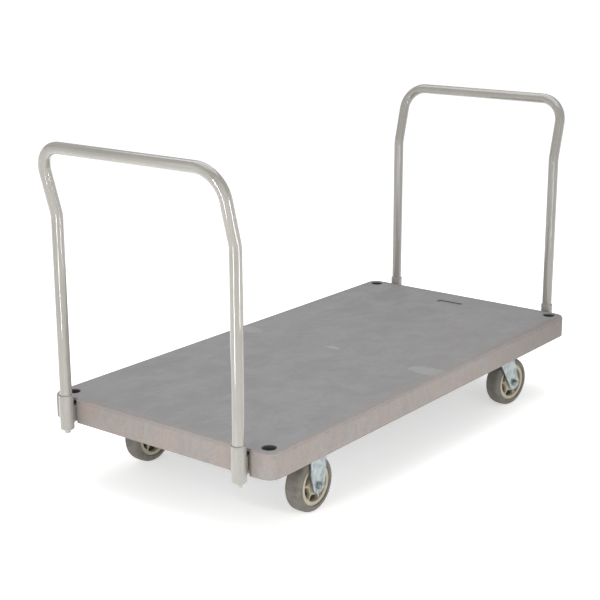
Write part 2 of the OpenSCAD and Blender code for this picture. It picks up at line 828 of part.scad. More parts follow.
deck_shell();
side_rail(LEFT);  // side_rail_left
side_rail(RIGHT);  // side_rail_right
cross_member(-cross_x);  // cross_member_near
cross_member(0);  // cross_member_middle
cross_member(cross_x);  // cross_member_far
caster_wing_plates();
deck_screws();
socket(NEAR, LEFT);  // socket_near_left
socket(NEAR, RIGHT);  // socket_near_right
socket(FAR, LEFT);  // socket_far_left
socket(FAR, RIGHT);  // socket_far_right
socket_cross_bolts();
socket_cross_nuts();
handle_retaining_bolts();
handle_lock_washers();
handle_tube(NEAR);  // handle_tube_near
leg_plugs(NEAR);  // leg_plugs_near
handle_tube(FAR);  // handle_tube_far
leg_plugs(FAR);  // leg_plugs_far
caster_bolts();
caster_washers();
caster_nuts();
rigid_plate(LEFT);  // rigid_plate_left
rigid_plate(RIGHT);  // rigid_plate_right
rigid_fork(LEFT);  // rigid_fork_left
rigid_fork(RIGHT);  // rigid_fork_right
rigid_axle_bolts();
rigid_axle_nuts();
rigid_bushings();
swivel_plate(LEFT);  // swivel_plate_left
swivel_plate(RIGHT);  // swivel_plate_right
kingpins();
kingpin_nuts();
swivel_fork(LEFT);  // swivel_fork_left
ball_cup(LEFT);  // ball_cup_left
swivel_balls(LEFT);  // swivel_balls_left
swivel_axle_bolt(LEFT);  // swivel_axle_bolt_left
swivel_axle_nut(LEFT);  // swivel_axle_nut_left
swivel_bushing(LEFT);  // swivel_bushing_left
swivel_fork(RIGHT);  // swivel_fork_right
ball_cup(RIGHT);  // ball_cup_right
swivel_balls(RIGHT);  // swivel_balls_right
swivel_axle_bolt(RIGHT);  // swivel_axle_bolt_right
swivel_axle_nut(RIGHT);  // swivel_axle_nut_right
swivel_bushing(RIGHT);  // swivel_bushing_right
wheel_core(NEAR, LEFT);  // wheel_core_near_left
tyre(NEAR, LEFT);  // tyre_near_left
roller_bearing(NEAR, LEFT);  // roller_bearing_near_left
wheel_core(NEAR, RIGHT);  // wheel_core_near_right
tyre(NEAR, RIGHT);  // tyre_near_right
roller_bearing(NEAR, RIGHT);  // roller_bearing_near_right
wheel_core(FAR, LEFT);  // wheel_core_far_left
tyre(FAR, LEFT);  // tyre_far_left
roller_bearing(FAR, LEFT);  // roller_bearing_far_left
wheel_core(FAR, RIGHT);  // wheel_core_far_right
tyre(FAR, RIGHT);  // tyre_far_right
roller_bearing(FAR, RIGHT);  // roller_bearing_far_right
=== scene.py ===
import json
import math

import bmesh
import bpy
import numpy as np
from mathutils import Matrix, Vector


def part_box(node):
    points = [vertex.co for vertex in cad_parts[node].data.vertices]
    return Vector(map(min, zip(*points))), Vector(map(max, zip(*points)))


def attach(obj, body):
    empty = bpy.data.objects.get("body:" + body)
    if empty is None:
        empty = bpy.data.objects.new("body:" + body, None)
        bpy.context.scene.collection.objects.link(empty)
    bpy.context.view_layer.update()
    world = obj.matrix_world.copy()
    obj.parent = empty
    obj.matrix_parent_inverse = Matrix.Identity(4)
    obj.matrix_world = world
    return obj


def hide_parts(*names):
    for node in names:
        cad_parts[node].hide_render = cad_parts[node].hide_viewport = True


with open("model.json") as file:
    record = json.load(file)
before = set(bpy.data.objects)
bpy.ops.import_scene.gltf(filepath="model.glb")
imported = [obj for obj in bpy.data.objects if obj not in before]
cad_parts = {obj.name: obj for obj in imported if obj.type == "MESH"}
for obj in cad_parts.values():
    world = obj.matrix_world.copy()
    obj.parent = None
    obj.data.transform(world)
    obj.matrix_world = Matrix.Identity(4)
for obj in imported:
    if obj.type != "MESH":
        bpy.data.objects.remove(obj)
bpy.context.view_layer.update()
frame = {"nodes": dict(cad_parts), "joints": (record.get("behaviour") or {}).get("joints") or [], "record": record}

# %% [markdown]
# # A platform cart, finished piece by piece
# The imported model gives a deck, two bent-tube handles, four sockets, a steel
# underframe and four casters, all at their real size in metres. The floor is
# Z = 0, +X points to the swivel casters and +Y to the left side.
# This lesson reads every place from that model, then gives each piece the
# surface that its maker would give it: moulded, bent, pressed, plated or cast.

# %% Sizes read from the frame
MM = 0.001
deck_end, deck_side, deck_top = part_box("deck_shell")[1]
JOINTS = {joint["name"]: joint for joint in frame["joints"]}
SIDES = {"left": 1, "right": -1}
ENDS = {"near": -1, "far": 1}
UP = (0, 0, 1)


def heights(node):
    """Lowest and highest Z of a CAD node."""
    return (corner.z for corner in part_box(node))


print(f"deck {2 * deck_end:.3f} x {2 * deck_side:.3f} m, top face at {deck_top:.4f} m")

# %% [markdown]
# ## The camera
# A camera is placed from an angle round the object, an angle above the floor and
# a lens. A long lens a few metres away keeps the two long edges of the deck
# nearly parallel, as in a catalogue picture. The small shift stands for the way
# such a picture is trimmed afterwards. The focal length and the trim are given in
# the units in which the image is 600 wide.

# %% Camera
CAMERA_PLACE = Vector((-3.0139, -2.2139, 1.4400))
AZIMUTH, ELEVATION, ROLL = (math.radians(angle) for angle in (-53.6, 14.73, 0.22))
IMAGE_SIDE = 600
FOCAL_LENGTH = 1318.3
TRIM_RIGHT, TRIM_UP = 31.4, 15.6


def in_scene(name, data):
    """A new object that shows data, linked to the scene."""
    thing = bpy.data.objects.new(name, data)
    bpy.context.scene.collection.objects.link(thing)
    return thing


def camera_axes(azimuth, elevation, roll):
    """Right, up and back of a camera that looks at the object from azimuth and elevation."""
    back = Vector((math.sin(azimuth) * math.cos(elevation),
                   -math.cos(azimuth) * math.cos(elevation), math.sin(elevation)))
    right = Vector(UP).cross(back).normalized()
    up = back.cross(right)
    turned_right = right * math.cos(roll) + up * math.sin(roll)
    return turned_right, back.cross(turned_right), back


camera_data = bpy.data.cameras.new("studio_camera")
camera = in_scene("studio_camera", camera_data)
right, up, back = camera_axes(AZIMUTH, ELEVATION, ROLL)
turn = Matrix((right, up, back)).transposed().to_4x4()
camera.matrix_world = Matrix.Translation(CAMERA_PLACE) @ turn
camera_data.sensor_width = 36.0
camera_data.lens = FOCAL_LENGTH / IMAGE_SIDE * camera_data.sensor_width
camera_data.shift_x = -TRIM_RIGHT / IMAGE_SIDE
camera_data.shift_y = -TRIM_UP / IMAGE_SIDE
bpy.context.scene.camera = camera
print(f"lens {camera_data.lens:.1f} mm, shift {camera_data.shift_x:.3f}, {camera_data.shift_y:.3f}")

# %% [markdown]
# ## Tools for making surfaces
# Every new shape here is one of two things: a grid of points, worked out as whole
# arrays, or a copy of a CAD node whose edges are then softened. A grid is an array
# of rows and columns of points. Joining each point to its neighbours gives four-
# sided faces, and a grid can wrap round in either direction, like a tube.

# %% Grids to meshes


def patch(points, wrap_rows=False, wrap_columns=False):
    """Vertices and quads of a grid of points, shape (rows, columns, 3).

    Face (i, j) joins (i, j), (i, j+1), (i+1, j+1) and (i+1, j), with the last row
    joined back to the first where wrap_rows is set, and the same for columns."""
    rows, columns = points.shape[:2]
    i = np.arange(rows if wrap_rows else rows - 1)[:, None]
    j = np.arange(columns if wrap_columns else columns - 1)[None, :]
    next_i, next_j = (i + 1) % rows, (j + 1) % columns
    corners = [i * columns + j, i * columns + next_j, next_i * columns + next_j, next_i * columns + j]
    quads = np.stack([np.broadcast_to(c, (i.size, j.size)) for c in corners], axis=-1)
    return points.reshape(-1, 3), quads.reshape(-1, 4)


def moved(part, place=(0, 0, 0), turn=None):
    """A part with its points turned by a 3 x 3 matrix and then moved to place."""
    points, quads = part
    if turn is not None:
        points = points @ np.asarray(turn, float).T
    return points + np.asarray(place, float), quads


def joined(parts):
    """Several parts as one: their points stacked, and their quads renumbered."""
    starts = np.cumsum([0] + [len(points) for points, _ in parts[:-1]])
    return (np.vstack([points for points, _ in parts]),
            np.vstack([quads + start for (_, quads), start in zip(parts, starts)]))


def capped(rings, low, high):
    """A stack of rings about Z, closed by a point at height low and another at high."""
    poles = np.zeros((2, 1, rings.shape[1], 3))
    poles[0, ..., 2], poles[1, ..., 2] = low, high
    return patch(np.vstack([poles[0], rings, poles[1]]), False, True)


def unit(vectors):
    """Each row of vectors divided by its length."""
    return vectors / np.linalg.norm(vectors, axis=1, keepdims=True)


def full_turn(steps):
    """Angles at even steps round a full turn, 2 pi k / steps."""
    return np.arange(steps) * 2 * np.pi / steps


def circles(first, second, steps):
    """A unit circle for each row of first and second: first cos a + second sin a."""
    angle = full_turn(steps)[None, :, None]
    return first[:, None] * np.cos(angle) + second[:, None] * np.sin(angle)


def tidy_mesh(mesh, sharp_angle=math.radians(38), merge=2e-6):
    """Merges doubled points, drops faces without area and turns every face outwards.

    Edges between faces that meet at more than sharp_angle are shaded sharp."""
    shape = bmesh.new()
    shape.from_mesh(mesh)
    bmesh.ops.remove_doubles(shape, verts=shape.verts, dist=merge)
    bmesh.ops.dissolve_degenerate(shape, edges=shape.edges, dist=merge)
    bmesh.ops.recalc_face_normals(shape, faces=shape.faces)
    shape.to_mesh(mesh)
    shape.free()
    mesh.shade_smooth()
    mesh.set_sharp_from_angle(angle=sharp_angle)


def new_piece(name, parts, node, material=None):
    """One object made from parts. It stands for a CAD node, and takes the node's body, and
    the material of the node's slot unless another one is given."""
    points, quads = joined(parts)
    mesh = bpy.data.meshes.new(name)
    mesh.from_pydata(points.tolist(), [], quads.tolist())
    tidy_mesh(mesh)
    piece = in_scene(name, mesh)
    mesh.materials.append(material or BY_SLOT[SLOT_OF[node]])
    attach(piece, BODY_OF[node])
    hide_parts(node)
    print(f"{name}: {len(mesh.vertices)} points, {len(mesh.polygons)} faces")
    return piece


# %% [markdown]
# ## Profiles
# Turned, drawn and threaded parts come from a profile: a closed loop of radius and
# height that is carried round an axis. Rounding a profile's corners gives the soft
# edges that catch the light on a real part.

# %% Profiles and turned shapes
ARC_SHARE = 0.49


def rounded_loop(corners, radii, steps=5):
    """A closed polygon with each corner replaced by an arc.

    The arc is a quadratic curve from a point one radius before the corner to one radius
    after it, or ARC_SHARE of the edge where that is less, with the corner as its handle."""
    corners = np.asarray(corners, float)
    radii = np.broadcast_to(np.asarray(radii, float), len(corners))[:, None]
    before, after = np.roll(corners, 1, axis=0) - corners, np.roll(corners, -1, axis=0) - corners
    long_before, long_after = (np.linalg.norm(v, axis=1, keepdims=True) for v in (before, after))
    start = corners + before / long_before * np.minimum(radii, ARC_SHARE * long_before)
    end = corners + after / long_after * np.minimum(radii, ARC_SHARE * long_after)
    t = np.linspace(0, 1, steps)[None, :, None]
    arcs = (1 - t) ** 2 * start[:, None] + 2 * t * (1 - t) * corners[:, None] + t ** 2 * end[:, None]
    return arcs.reshape(-1, corners.shape[1])


def turned(loop, steps=64, across_flats=None):
    """A closed loop of (radius, height) carried round the Z axis.

    Where across_flats is given, each radius is the smaller of the loop's own and
    the distance to a hexagon's flats at that angle, so a chamfered hexagon comes out."""
    angle = full_turn(steps)
    radius = np.broadcast_to(loop[:, :1], (len(loop), steps))
    if across_flats:
        off_flat = (angle + np.pi / 6) % (np.pi / 3) - np.pi / 6
        radius = np.minimum(radius, across_flats / 2 / np.cos(off_flat))
    height = np.broadcast_to(loop[:, 1:], radius.shape)
    return patch(np.stack([radius * np.cos(angle), radius * np.sin(angle), height], -1), True, True)


def ring(inner, outer, low, high, edge=0.4 * MM, steps=48):
    """A flat ring or disc: a rectangle with softened corners, turned about Z."""
    return turned(rounded_loop([(inner, low), (outer, low), (outer, high), (inner, high)], edge), steps)


def axis_frame(axis, towards=(1, 0, 0)):
    """Rotation matrix whose Z is axis, with X as near to towards as it can be."""
    z = np.asarray(axis, float) / np.linalg.norm(axis)
    x = np.asarray(towards, float) - np.dot(towards, z) * z
    x /= np.linalg.norm(x)
    return np.stack([x, np.cross(z, x), z], axis=1)


# %% [markdown]
# ## Tools for materials
# A material is a small tree of nodes. One function adds a node with its settings
# and its inputs: an input is either a plain value or another node's output.
# Colours are written as the hex values that a paint or plastic chart would list,
# and are turned to the linear values that the renderer adds up.

# %% Colour and nodes


def colour(hex_code):
    """Linear RGBA of an sRGB hex code: c/12.92 below 0.04045, else ((c+0.055)/1.055)^2.4."""
    levels = np.array([int(hex_code[i:i + 2], 16) for i in (1, 3, 5)]) / 255
    linear = np.where(levels <= 0.04045, levels / 12.92, ((levels + 0.055) / 1.055) ** 2.4)
    return (*linear.tolist(), 1.0)


def add(tree, kind, inputs=None, out=0, **settings):
    """Adds a node with its settings, fills or links its inputs, and gives its output number out."""
    node = tree.nodes.new("ShaderNode" + kind)
    for key, value in settings.items():
        setattr(node, key, value)
    for key, value in (inputs or {}).items():
        if isinstance(value, bpy.types.NodeSocket):
            tree.links.new(value, node.inputs[key])
        else:
            node.inputs[key].default_value = value
    return node.outputs[out]


def new_material(name):
    """An empty material, its tree, its output node and its object coordinates."""
    material = bpy.data.materials.new(name)
    material.use_nodes = True
    tree = material.node_tree
    tree.nodes.clear()
    output = tree.nodes.new("ShaderNodeOutputMaterial")
    place = add(tree, "TexCoord", out="Object")
    return material, tree, output, place


# %% [markdown]
# ## Patterns, tints and the shader
# Three steps repeat in every finish below. A pattern is noise with features of a
# real size, drawn out along the way that the melt, the rolls or the brush ran. A
# tint lays one more colour over the base where a pattern is high. The last step
# turns base, pattern and grain into a surface with gloss and fine relief.

# %% Patterns and tints
MIX_A, MIX_B, MIX_OUT = 6, 7, 2
EVEN = (1.0, 1.0, 1.0)


def swirl(tree, place, stretch, size, detail=4.0, rough=0.55, distortion=0.0):
    """Noise between 0 and 1 with features of the given size in metres, drawn out along an axis."""
    spread = add(tree, "Mapping", {"Vector": place, "Scale": stretch})
    return add(tree, "TexNoise", {"Vector": spread, "Scale": 1 / size, "Detail": detail,
                                  "Roughness": rough, "Distortion": distortion})


def tinted(tree, base, pattern, window, share, hex_code):
    """Base with a colour laid over it: its share rises from 0 to share across window of pattern."""
    cover = add(tree, "MapRange", {"Value": pattern, "From Min": window[0], "From Max": window[1],
                                   "To Max": share}, interpolation_type="SMOOTHSTEP")
    return add(tree, "Mix", {0: cover, MIX_A: base, MIX_B: colour(hex_code)}, out=MIX_OUT,
               data_type="RGBA")


def layered(tree, hex_code, layers):
    """A colour with one tint after another over it, each a (pattern, window, share, hex code)."""
    base = colour(hex_code)
    for pattern, window, share, tone in layers:
        base = tinted(tree, base, pattern, window, share, tone)
    return base


def finish_surface(tree, output, base, pattern, rough_range, height, depth, **constants):
    """The shader: base colour, roughness over rough_range by pattern, bump of the given depth.

    Coat, IOR, metallic and the like are constants, so they sit on the shader's own sockets."""
    roughness = add(tree, "MapRange", {"Value": pattern, "From Min": 0.3, "From Max": 0.7,
                                       "To Min": rough_range[0], "To Max": rough_range[1]})
    bump = add(tree, "Bump", {"Height": height, "Distance": depth, "Strength": 1.0})
    inputs = {"Base Color": base, "Roughness": roughness, "Normal": bump}
    inputs.update({key.replace("_", " "): value for key, value in constants.items()})
    tree.links.new(add(tree, "BsdfPrincipled", inputs), output.inputs["Surface"])


print("patterns ready")

# %% [markdown]
# ## Deck plastic
# The deck is moulded in one shot from grey structural-foam polyethylene. Gas in the
# melt leaves pale and dark swirls: soft clouds on the top face, and upright blotches
# on the sides, where the melt climbed the mould wall. The top is scuffed cooler and
# greyer by use, and the sides keep the warmer colour. The two meet in a ragged line
# on the rounded edge, which is painted a little paler: partly rub from loads, partly a
# painted highlight of the rounding. The cooler colour comes in over a few centimetres
# from there. Painted shade darkens the sides towards the far end and the walls of
# the finger recess.
# A flat grey would look like a drawing, so each of these is a tint over the last.

# %% Moulded polyethylene
STAKE_INSET, STAKE_RADIUS = 42 * MM, 17 * MM
MOUTH_DARK, MOUTH_EDGE = 1.4 * MM, 2.6 * MM
LINE_RAGGED, LINE_LOW, LINE_HIGH = 8 * MM, 0.5 * MM, 3.5 * MM
ROUNDING_IN, FLAT_FROM = 14 * MM, 17 * MM
FADE_RAGGED, FADE_FROM, FADE_TO, FADE_LEAST = 20 * MM, -6 * MM, 26 * MM, 0.35
EDGE_HIGHLIGHT_AND_RUB_FULL, EDGE_HIGHLIGHT_AND_RUB_END = 0.3 * MM, 2.5 * MM
WALL_MIDDLE, WALL_HALF = 1.85 * MM, 1.55 * MM
GATE_MARKS = [((0.016, 0.015), (0.012, 0.030), "#989695"), ((0.0, -0.342), (0.035, 0.085), "#909092"),
              ((0.010, 0.335), (0.030, 0.060), "#8c8c8d")]


def side_colour(tree, place, along, specks):
    """Warm grey with blotches 20 mm wide and twice as tall, pink clouds 55 mm wide, a slow
    painted shade along the deck towards the far end, where less lamp light falls, and dark specks."""
    climb = swirl(tree, place, (1.0, 1.0, 0.45), 0.020, rough=0.6, distortion=0.8)
    pink = swirl(tree, place, (1.0, 1.0, 0.6), 0.055, distortion=0.7)
    # the third tint is painted shade: the side darkens towards the far end, away from the lamps
    return layered(tree, "#7f7a77", [(climb, (0.35, 0.68), 0.6, "#8c8783"),
                                     (pink, (0.4, 0.62), 0.6, "#8b7d76"),
                                     (along, (0.1, 0.75), 0.55, "#6a625e"),
                                     (specks, (0.52, 0.72), 0.6, "#6c655f")])


def top_colour(tree, place, flow, cloud, specks):
    """Cool grey with fine scuffs, clouds a hand wide, one slow change along the deck and faint
    specks. Gates and a scuff from the moulder's sprue show as soft pale ovals."""
    broad = swirl(tree, place, EVEN, 0.45, detail=1.0)
    top = layered(tree, "#7e7e80", [(flow, (0.35, 0.68), 0.6, "#878687"),
                                    (cloud, (0.42, 0.65), 0.55, "#7a7878"),
                                    (broad, (0.4, 0.6), 0.35, "#858280"),
                                    (specks, (0.52, 0.72), 0.3, "#6c6b6c")])
    for (mark_x, mark_y), (half_x, half_y), tone in GATE_MARKS:
        off = add(tree, "Mapping", {"Vector": place, "Location": (-mark_x / half_x, -mark_y / half_y, 0),
                                    "Scale": (1 / half_x, 1 / half_y, 0)})
        away = add(tree, "VectorMath", {0: off}, out="Value", operation="LENGTH")
        rough_away = add(tree, "Math", {0: flow, 1: -1.2, 2: away}, operation="MULTIPLY_ADD")
        top = tinted(tree, top, rough_away, (0.45, 0.05), 0.8, tone)
    return top


def deck_plastic():
    material, tree, output, place = new_material("moulded_grey_foam_polyethylene")
    x, y, z = add(tree, "SeparateXYZ", {0: place}).node.outputs
    across_x, across_y = (add(tree, "Math", {0: axis}, operation="ABSOLUTE") for axis in (x, y))
    in_x = add(tree, "Math", {0: deck_end, 1: across_x}, operation="SUBTRACT")
    in_y = add(tree, "Math", {0: deck_side, 1: across_y}, operation="SUBTRACT")
    from_edge = add(tree, "Math", {0: in_x, 1: in_y}, operation="MINIMUM")
    specks = swirl(tree, place, (1.0, 1.0, 0.8), 0.007, rough=0.7)
    flow = swirl(tree, place, (0.6, 1.3, 1.0), 0.022, detail=5.0, rough=0.6, distortion=0.4)
    cloud = swirl(tree, place, (0.8, 1.0, 1.0), 0.09, rough=0.6, distortion=0.6)
    side = side_colour(tree, place, x, specks)
    top = top_colour(tree, place, flow, cloud, specks)
    # the ragged line between the two, on the edge's rounding, where the top starts
    ragged = swirl(tree, place, EVEN, 0.016, detail=4.0)
    border = add(tree, "Math", {0: ragged, 1: LINE_RAGGED, 2: z}, operation="MULTIPLY_ADD")
    high_up = add(tree, "MapRange", {"Value": border, "From Min": deck_top - LINE_LOW,
                                     "From Max": deck_top + LINE_HIGH}, interpolation_type="SMOOTHSTEP")
    well_in = add(tree, "MapRange", {"Value": from_edge, "From Min": ROUNDING_IN, "From Max": FLAT_FROM})
    # the top's colour is faint at the edge and comes in fully over a ragged 30 mm
    frayed = add(tree, "Math", {0: ragged, 1: -FADE_RAGGED, 2: from_edge}, operation="MULTIPLY_ADD")
    inland = add(tree, "MapRange", {"Value": frayed, "From Min": FADE_FROM, "From Max": FADE_TO,
                                    "To Min": FADE_LEAST}, interpolation_type="SMOOTHSTEP")
    on_top = add(tree, "Math", {0: high_up, 1: well_in}, operation="MAXIMUM")
    on_top = add(tree, "Math", {0: on_top, 1: inland}, operation="MULTIPLY")
    base = add(tree, "Mix", {0: on_top, MIX_A: side, MIX_B: top}, out=MIX_OUT, data_type="RGBA")
    # a pale band a few millimetres wide on the rounding: partly rubbed paler by loads, partly a painted highlight
    # of the rounded edge
    from_line = add(tree, "Math", {0: border, 1: deck_top + LINE_LOW}, operation="SUBTRACT")
    line_away = add(tree, "Math", {0: from_line}, operation="ABSOLUTE")
    inside = add(tree, "Math", {0: well_in, 1: 0.01, 2: line_away}, operation="MULTIPLY_ADD")
    base = tinted(tree, base, inside, (EDGE_HIGHLIGHT_AND_RUB_END, EDGE_HIGHLIGHT_AND_RUB_FULL), 0.55, "#938c88")
    # painted shade on the walls of the finger recess, which are darkened where shade falls in it
    on_wall = add(tree, "Math", {0: z, 1: deck_top - WALL_MIDDLE, 2: WALL_HALF}, operation="COMPARE")
    recess_wall_shade = add(tree, "Math", {0: on_wall, 1: well_in}, operation="MULTIPLY")
    base = tinted(tree, base, recess_wall_shade, (0.2, 0.9), 0.85, "#4c4a49")
    # a dark ring is painted round the mouth of each stake hole
    hole = add(tree, "CombineXYZ", {0: in_x, 1: in_y})
    off_hole = add(tree, "VectorMath", {0: hole, 1: (STAKE_INSET, STAKE_INSET, 0)}, out="Value",
                   operation="DISTANCE")
    mouth = (STAKE_RADIUS + MOUTH_EDGE, STAKE_RADIUS + MOUTH_DARK)
    base = tinted(tree, base, off_hole, mouth, 1.0, "#3f3e3e")
    # skin texture of a pebbled mould, on slow waves where the foam shrank as it cooled
    pebble = swirl(tree, place, EVEN, 0.003, detail=2.0)
    wave = swirl(tree, place, EVEN, 0.06, detail=1.0)
    height = add(tree, "Math", {0: pebble, 1: 0.12, 2: wave}, operation="MULTIPLY_ADD")
    finish_surface(tree, output, base, cloud, (0.46, 0.6), height, 0.4 * MM, IOR=1.51)
    return material


DECK_PLASTIC = deck_plastic()
print("made", DECK_PLASTIC.name)

# %% [markdown]
# ## Powder coat and dip paint
# The handles and sockets are powder coated: the powder melts into a thick, semi-
# gloss skin with a faint orange peel, a few millimetres from ripple to ripple. A
# clear coat on the shader gives the narrow bright streaks down each tube. The
# underframe is dipped in thin black paint that runs a little and stays duller.

# %% Painted steel


def painted_steel(name, main, faded, rough_range, peel_depth, coat):
    """Paint with clouds 120 mm wide, gloss that hands have varied, and orange peel 4 mm wide."""
    material, tree, output, place = new_material(name)
    cloud = swirl(tree, place, (1.0, 1.0, 0.5), 0.12, detail=3.0)
    base = tinted(tree, colour(main), cloud, (0.3, 0.7), 1.0, faded)
    peel = swirl(tree, place, EVEN, 0.004, detail=1.0)
    handling = swirl(tree, place, EVEN, 0.03, detail=5.0)
    finish_surface(tree, output, base, handling, rough_range, peel, peel_depth, IOR=1.5,
                   Coat_Weight=coat, Coat_Roughness=0.05, Coat_IOR=1.55)
    return material


POWDER_COAT = painted_steel("powder_coated_steel_warm_grey", "#87847e", "#8d8a84", (0.1, 0.15),
                            0.012 * MM, 1.0)
DIP_PAINT = painted_steel("dip_painted_steel_black", "#3c3d3f", "#4a4a4a", (0.42, 0.55), 0.04 * MM, 0.0)
print("made", POWDER_COAT.name, "and", DIP_PAINT.name)

# %% [markdown]
# ## Zinc plate
# Forks, plates, bolts and nuts are bright zinc plated after pressing. The plate is
# a true metal with a bluish passivation, clouded where the rinse dried, and the
# drawn sheet below leaves fine lines along its length. The bolts and washers under
# the sockets have lost the blue, and the bearings are ground and not plated.

# %% Plated steel


def plated_steel(name, bright, dull, rough_range, line_depth):
    """Metal with rinse marks 14 mm wide and lines of the drawn sheet 1.2 mm apart."""
    material, tree, output, place = new_material(name)
    cloud = swirl(tree, place, (1.0, 1.0, 0.7), 0.014, detail=5.0, distortion=0.4)
    base = tinted(tree, colour(bright), cloud, (0.35, 0.68), 1.0, dull)
    lines = swirl(tree, place, (1.0, 1.0, 0.06), 0.0012, detail=2.0)
    finish_surface(tree, output, base, cloud, rough_range, lines, line_depth, Metallic=1.0)
    return material


ZINC_PLATE = plated_steel("bright_zinc_plated_steel", "#abb2b3", "#8f989a", (0.38, 0.52), 0.02 * MM)
WORN_ZINC = plated_steel("worn_zinc_plated_steel", "#b9b5ae", "#a5a19a", (0.42, 0.55), 0.02 * MM)
BEARING_STEEL = plated_steel("ground_bearing_steel", "#b5b6b8", "#9c9d9f", (0.2, 0.32), 0.01 * MM)
print("made", ZINC_PLATE.name, WORN_ZINC.name, BEARING_STEEL.name)

# %% [markdown]
# ## Wheel plastics
# The wheel's core is natural tan polyolefin, moulded and a little waxy. Its pockets are
# painted dark brown, partly dust and partly painted shade in the hollows. The tyre is
# grey thermoplastic rubber bonded on to it: matt, with dust ground into the tread in
# patches.

# %% Core and tyre


def wheel_plastic(name, clean, dusty, cloud_size, rough_range, grain_size, grain_depth):
    """A moulded wheel part: dust in clouds over its colour, a fine grain, and dark brown,
    partly dust and partly painted shade, wherever the piece's own attribute for pocket
    shade and dust is high. A piece without one stays clean."""
    material, tree, output, place = new_material(name)
    cloud = swirl(tree, place, EVEN, cloud_size, detail=5.0, distortion=0.4)
    base = tinted(tree, colour(clean), cloud, (0.32, 0.7), 1.0, dusty)
    # painted shade and dust: the attribute darkens the pockets of a core towards brown
    dirt = add(tree, "Attribute", out="Fac", attribute_name="dirt")
    base = tinted(tree, base, dirt, (0.1, 1.0), 0.92, "#352d1e")
    grain = swirl(tree, place, EVEN, grain_size, detail=2.0)
    finish_surface(tree, output, base, cloud, rough_range, grain, grain_depth, IOR=1.5)
    return material


CORE_PLASTIC = wheel_plastic("moulded_tan_polyolefin", "#a19a86", "#aba591", 0.02, (0.42, 0.55),
                             0.0015, 0.03 * MM)
TYRE_RUBBER = wheel_plastic("moulded_grey_thermoplastic_rubber", "#5d5953", "#6f6b64", 0.022, (0.6, 0.78),
                            0.0012, 0.06 * MM)
print("made", CORE_PLASTIC.name, "and", TYRE_RUBBER.name)

# %% [markdown]
# ## Materials on the CAD nodes
# Every CAD node first takes the material of its slot in the record. Pieces that get
# a more detailed shape further on replace their node and take the same material.

# %% Materials by slot
BY_SLOT = {"deck_plastic": DECK_PLASTIC, "handle_paint": POWDER_COAT, "frame_steel": DIP_PAINT,
           "zinc_plate": ZINC_PLATE, "bearing_steel": BEARING_STEEL,
           "wheel_core_plastic": CORE_PLASTIC, "tyre_rubber": TYRE_RUBBER}
SLOT_OF = {part["node"]: part["material_slot"] for part in frame["record"]["subparts"]}
BODY_OF = {node: body for body, nodes in frame["record"]["behaviour"]["bodies"].items() for node in nodes}
for node_name, node in frame["nodes"].items():
    node.data.materials.clear()
    node.data.materials.append(BY_SLOT[SLOT_OF[node_name]])
print(f"{len(SLOT_OF)} nodes in {len(BY_SLOT)} slots")

# %% [markdown]
# ## Handles
# Each handle is one steel tube, bent four times: outwards at mid height on both
# legs, and round both top corners. The surface is a circle carried along a path of
# straight stretches and arcs, out along the outer wall and back along the bore, so
# that it closes at both ends.

# %% Handle tubes
TUBE_RADIUS, TUBE_WALL = 15.875 * MM, 2.1 * MM
LEG_Y = deck_side - 83.4 * MM
POST_X = deck_end + 22 * MM
KINK_Z = deck_top + 499.5 * MM
LEAN = math.radians(15.1)
LEAN_LENGTH = 191 * MM
KINK_RADIUS, CORNER_RADIUS = 85 * MM, 74 * MM
BEND_STEPS = 28


def bent_path(corners, radii):
    """Points along a polyline whose inner corners are arcs, each tangent to both sides.

    At a corner with turning angle a and radius r, the arc starts r tan(a/2) before the
    corner, and its centre lies r off the path, towards the inside of the bend."""
    corners = np.asarray(corners, float)
    stretches = [corners[:1]]
    for before, corner, after, radius in zip(corners, corners[1:], corners[2:], radii):
        into = (corner - before) / np.linalg.norm(corner - before)
        out = (after - corner) / np.linalg.norm(after - corner)
        bend = math.acos(np.dot(into, out))
        inwards = (out - into * math.cos(bend)) / math.sin(bend)
        start = corner - into * radius * math.tan(bend / 2)
        angle = np.linspace(0, bend, BEND_STEPS)[:, None]
        stretches.append(start + radius * (np.sin(angle) * into + (1 - np.cos(angle)) * inwards))
    stretches.append(corners[-1:])
    return np.vstack(stretches)


def tube_along(path, outer, inner, flat_normal, steps=56):
    """A closed tube: rings of radius outer along path, then of radius inner back along it.

    Each ring's first direction is the tangent crossed with flat_normal, so rings don't twist."""
    tangent = unit(np.gradient(path, axis=0))
    tangent[0], tangent[-1] = tangent[0].round(3), tangent[-1].round(3)
    first = unit(np.cross(tangent, flat_normal))
    around = circles(first, np.cross(tangent, first), steps)
    out, back = (path[:, None] + radius * around for radius in (outer, inner))
    return patch(np.vstack([out, back[::-1]]), True, True)


for end, x_sign in ENDS.items():
    leg_low, _ = heights(f"handle_tube_{end}")
    top_out, top_z = LEAN_LENGTH * math.sin(LEAN), KINK_Z + LEAN_LENGTH * math.cos(LEAN)
    leg = [(0, LEG_Y, leg_low), (0, LEG_Y, KINK_Z), (top_out, LEG_Y, top_z)]
    corners = np.array(leg + [(x, -y, z) for x, y, z in leg[::-1]])
    corners[:, 0] = x_sign * (POST_X + corners[:, 0])
    path = bent_path(corners, [KINK_RADIUS, CORNER_RADIUS, CORNER_RADIUS, KINK_RADIUS])
    lean_normal = (math.cos(LEAN), 0, -x_sign * math.sin(LEAN))
    tube = tube_along(path, TUBE_RADIUS, TUBE_RADIUS - TUBE_WALL, lean_normal)
    new_piece(f"handle_{end}_bent_tube", [tube], f"handle_tube_{end}")

# %% [markdown]
# ## Sockets
# A socket is a short, wider tube with a tapered foot, and a square tongue welded to
# its side that slips into the end of a frame rail. Its rim is rolled over slightly.
# The tube is a turned profile, the tongue a square loop carried along X, and the
# weld a thin bead that follows the tongue's outline on the tube.

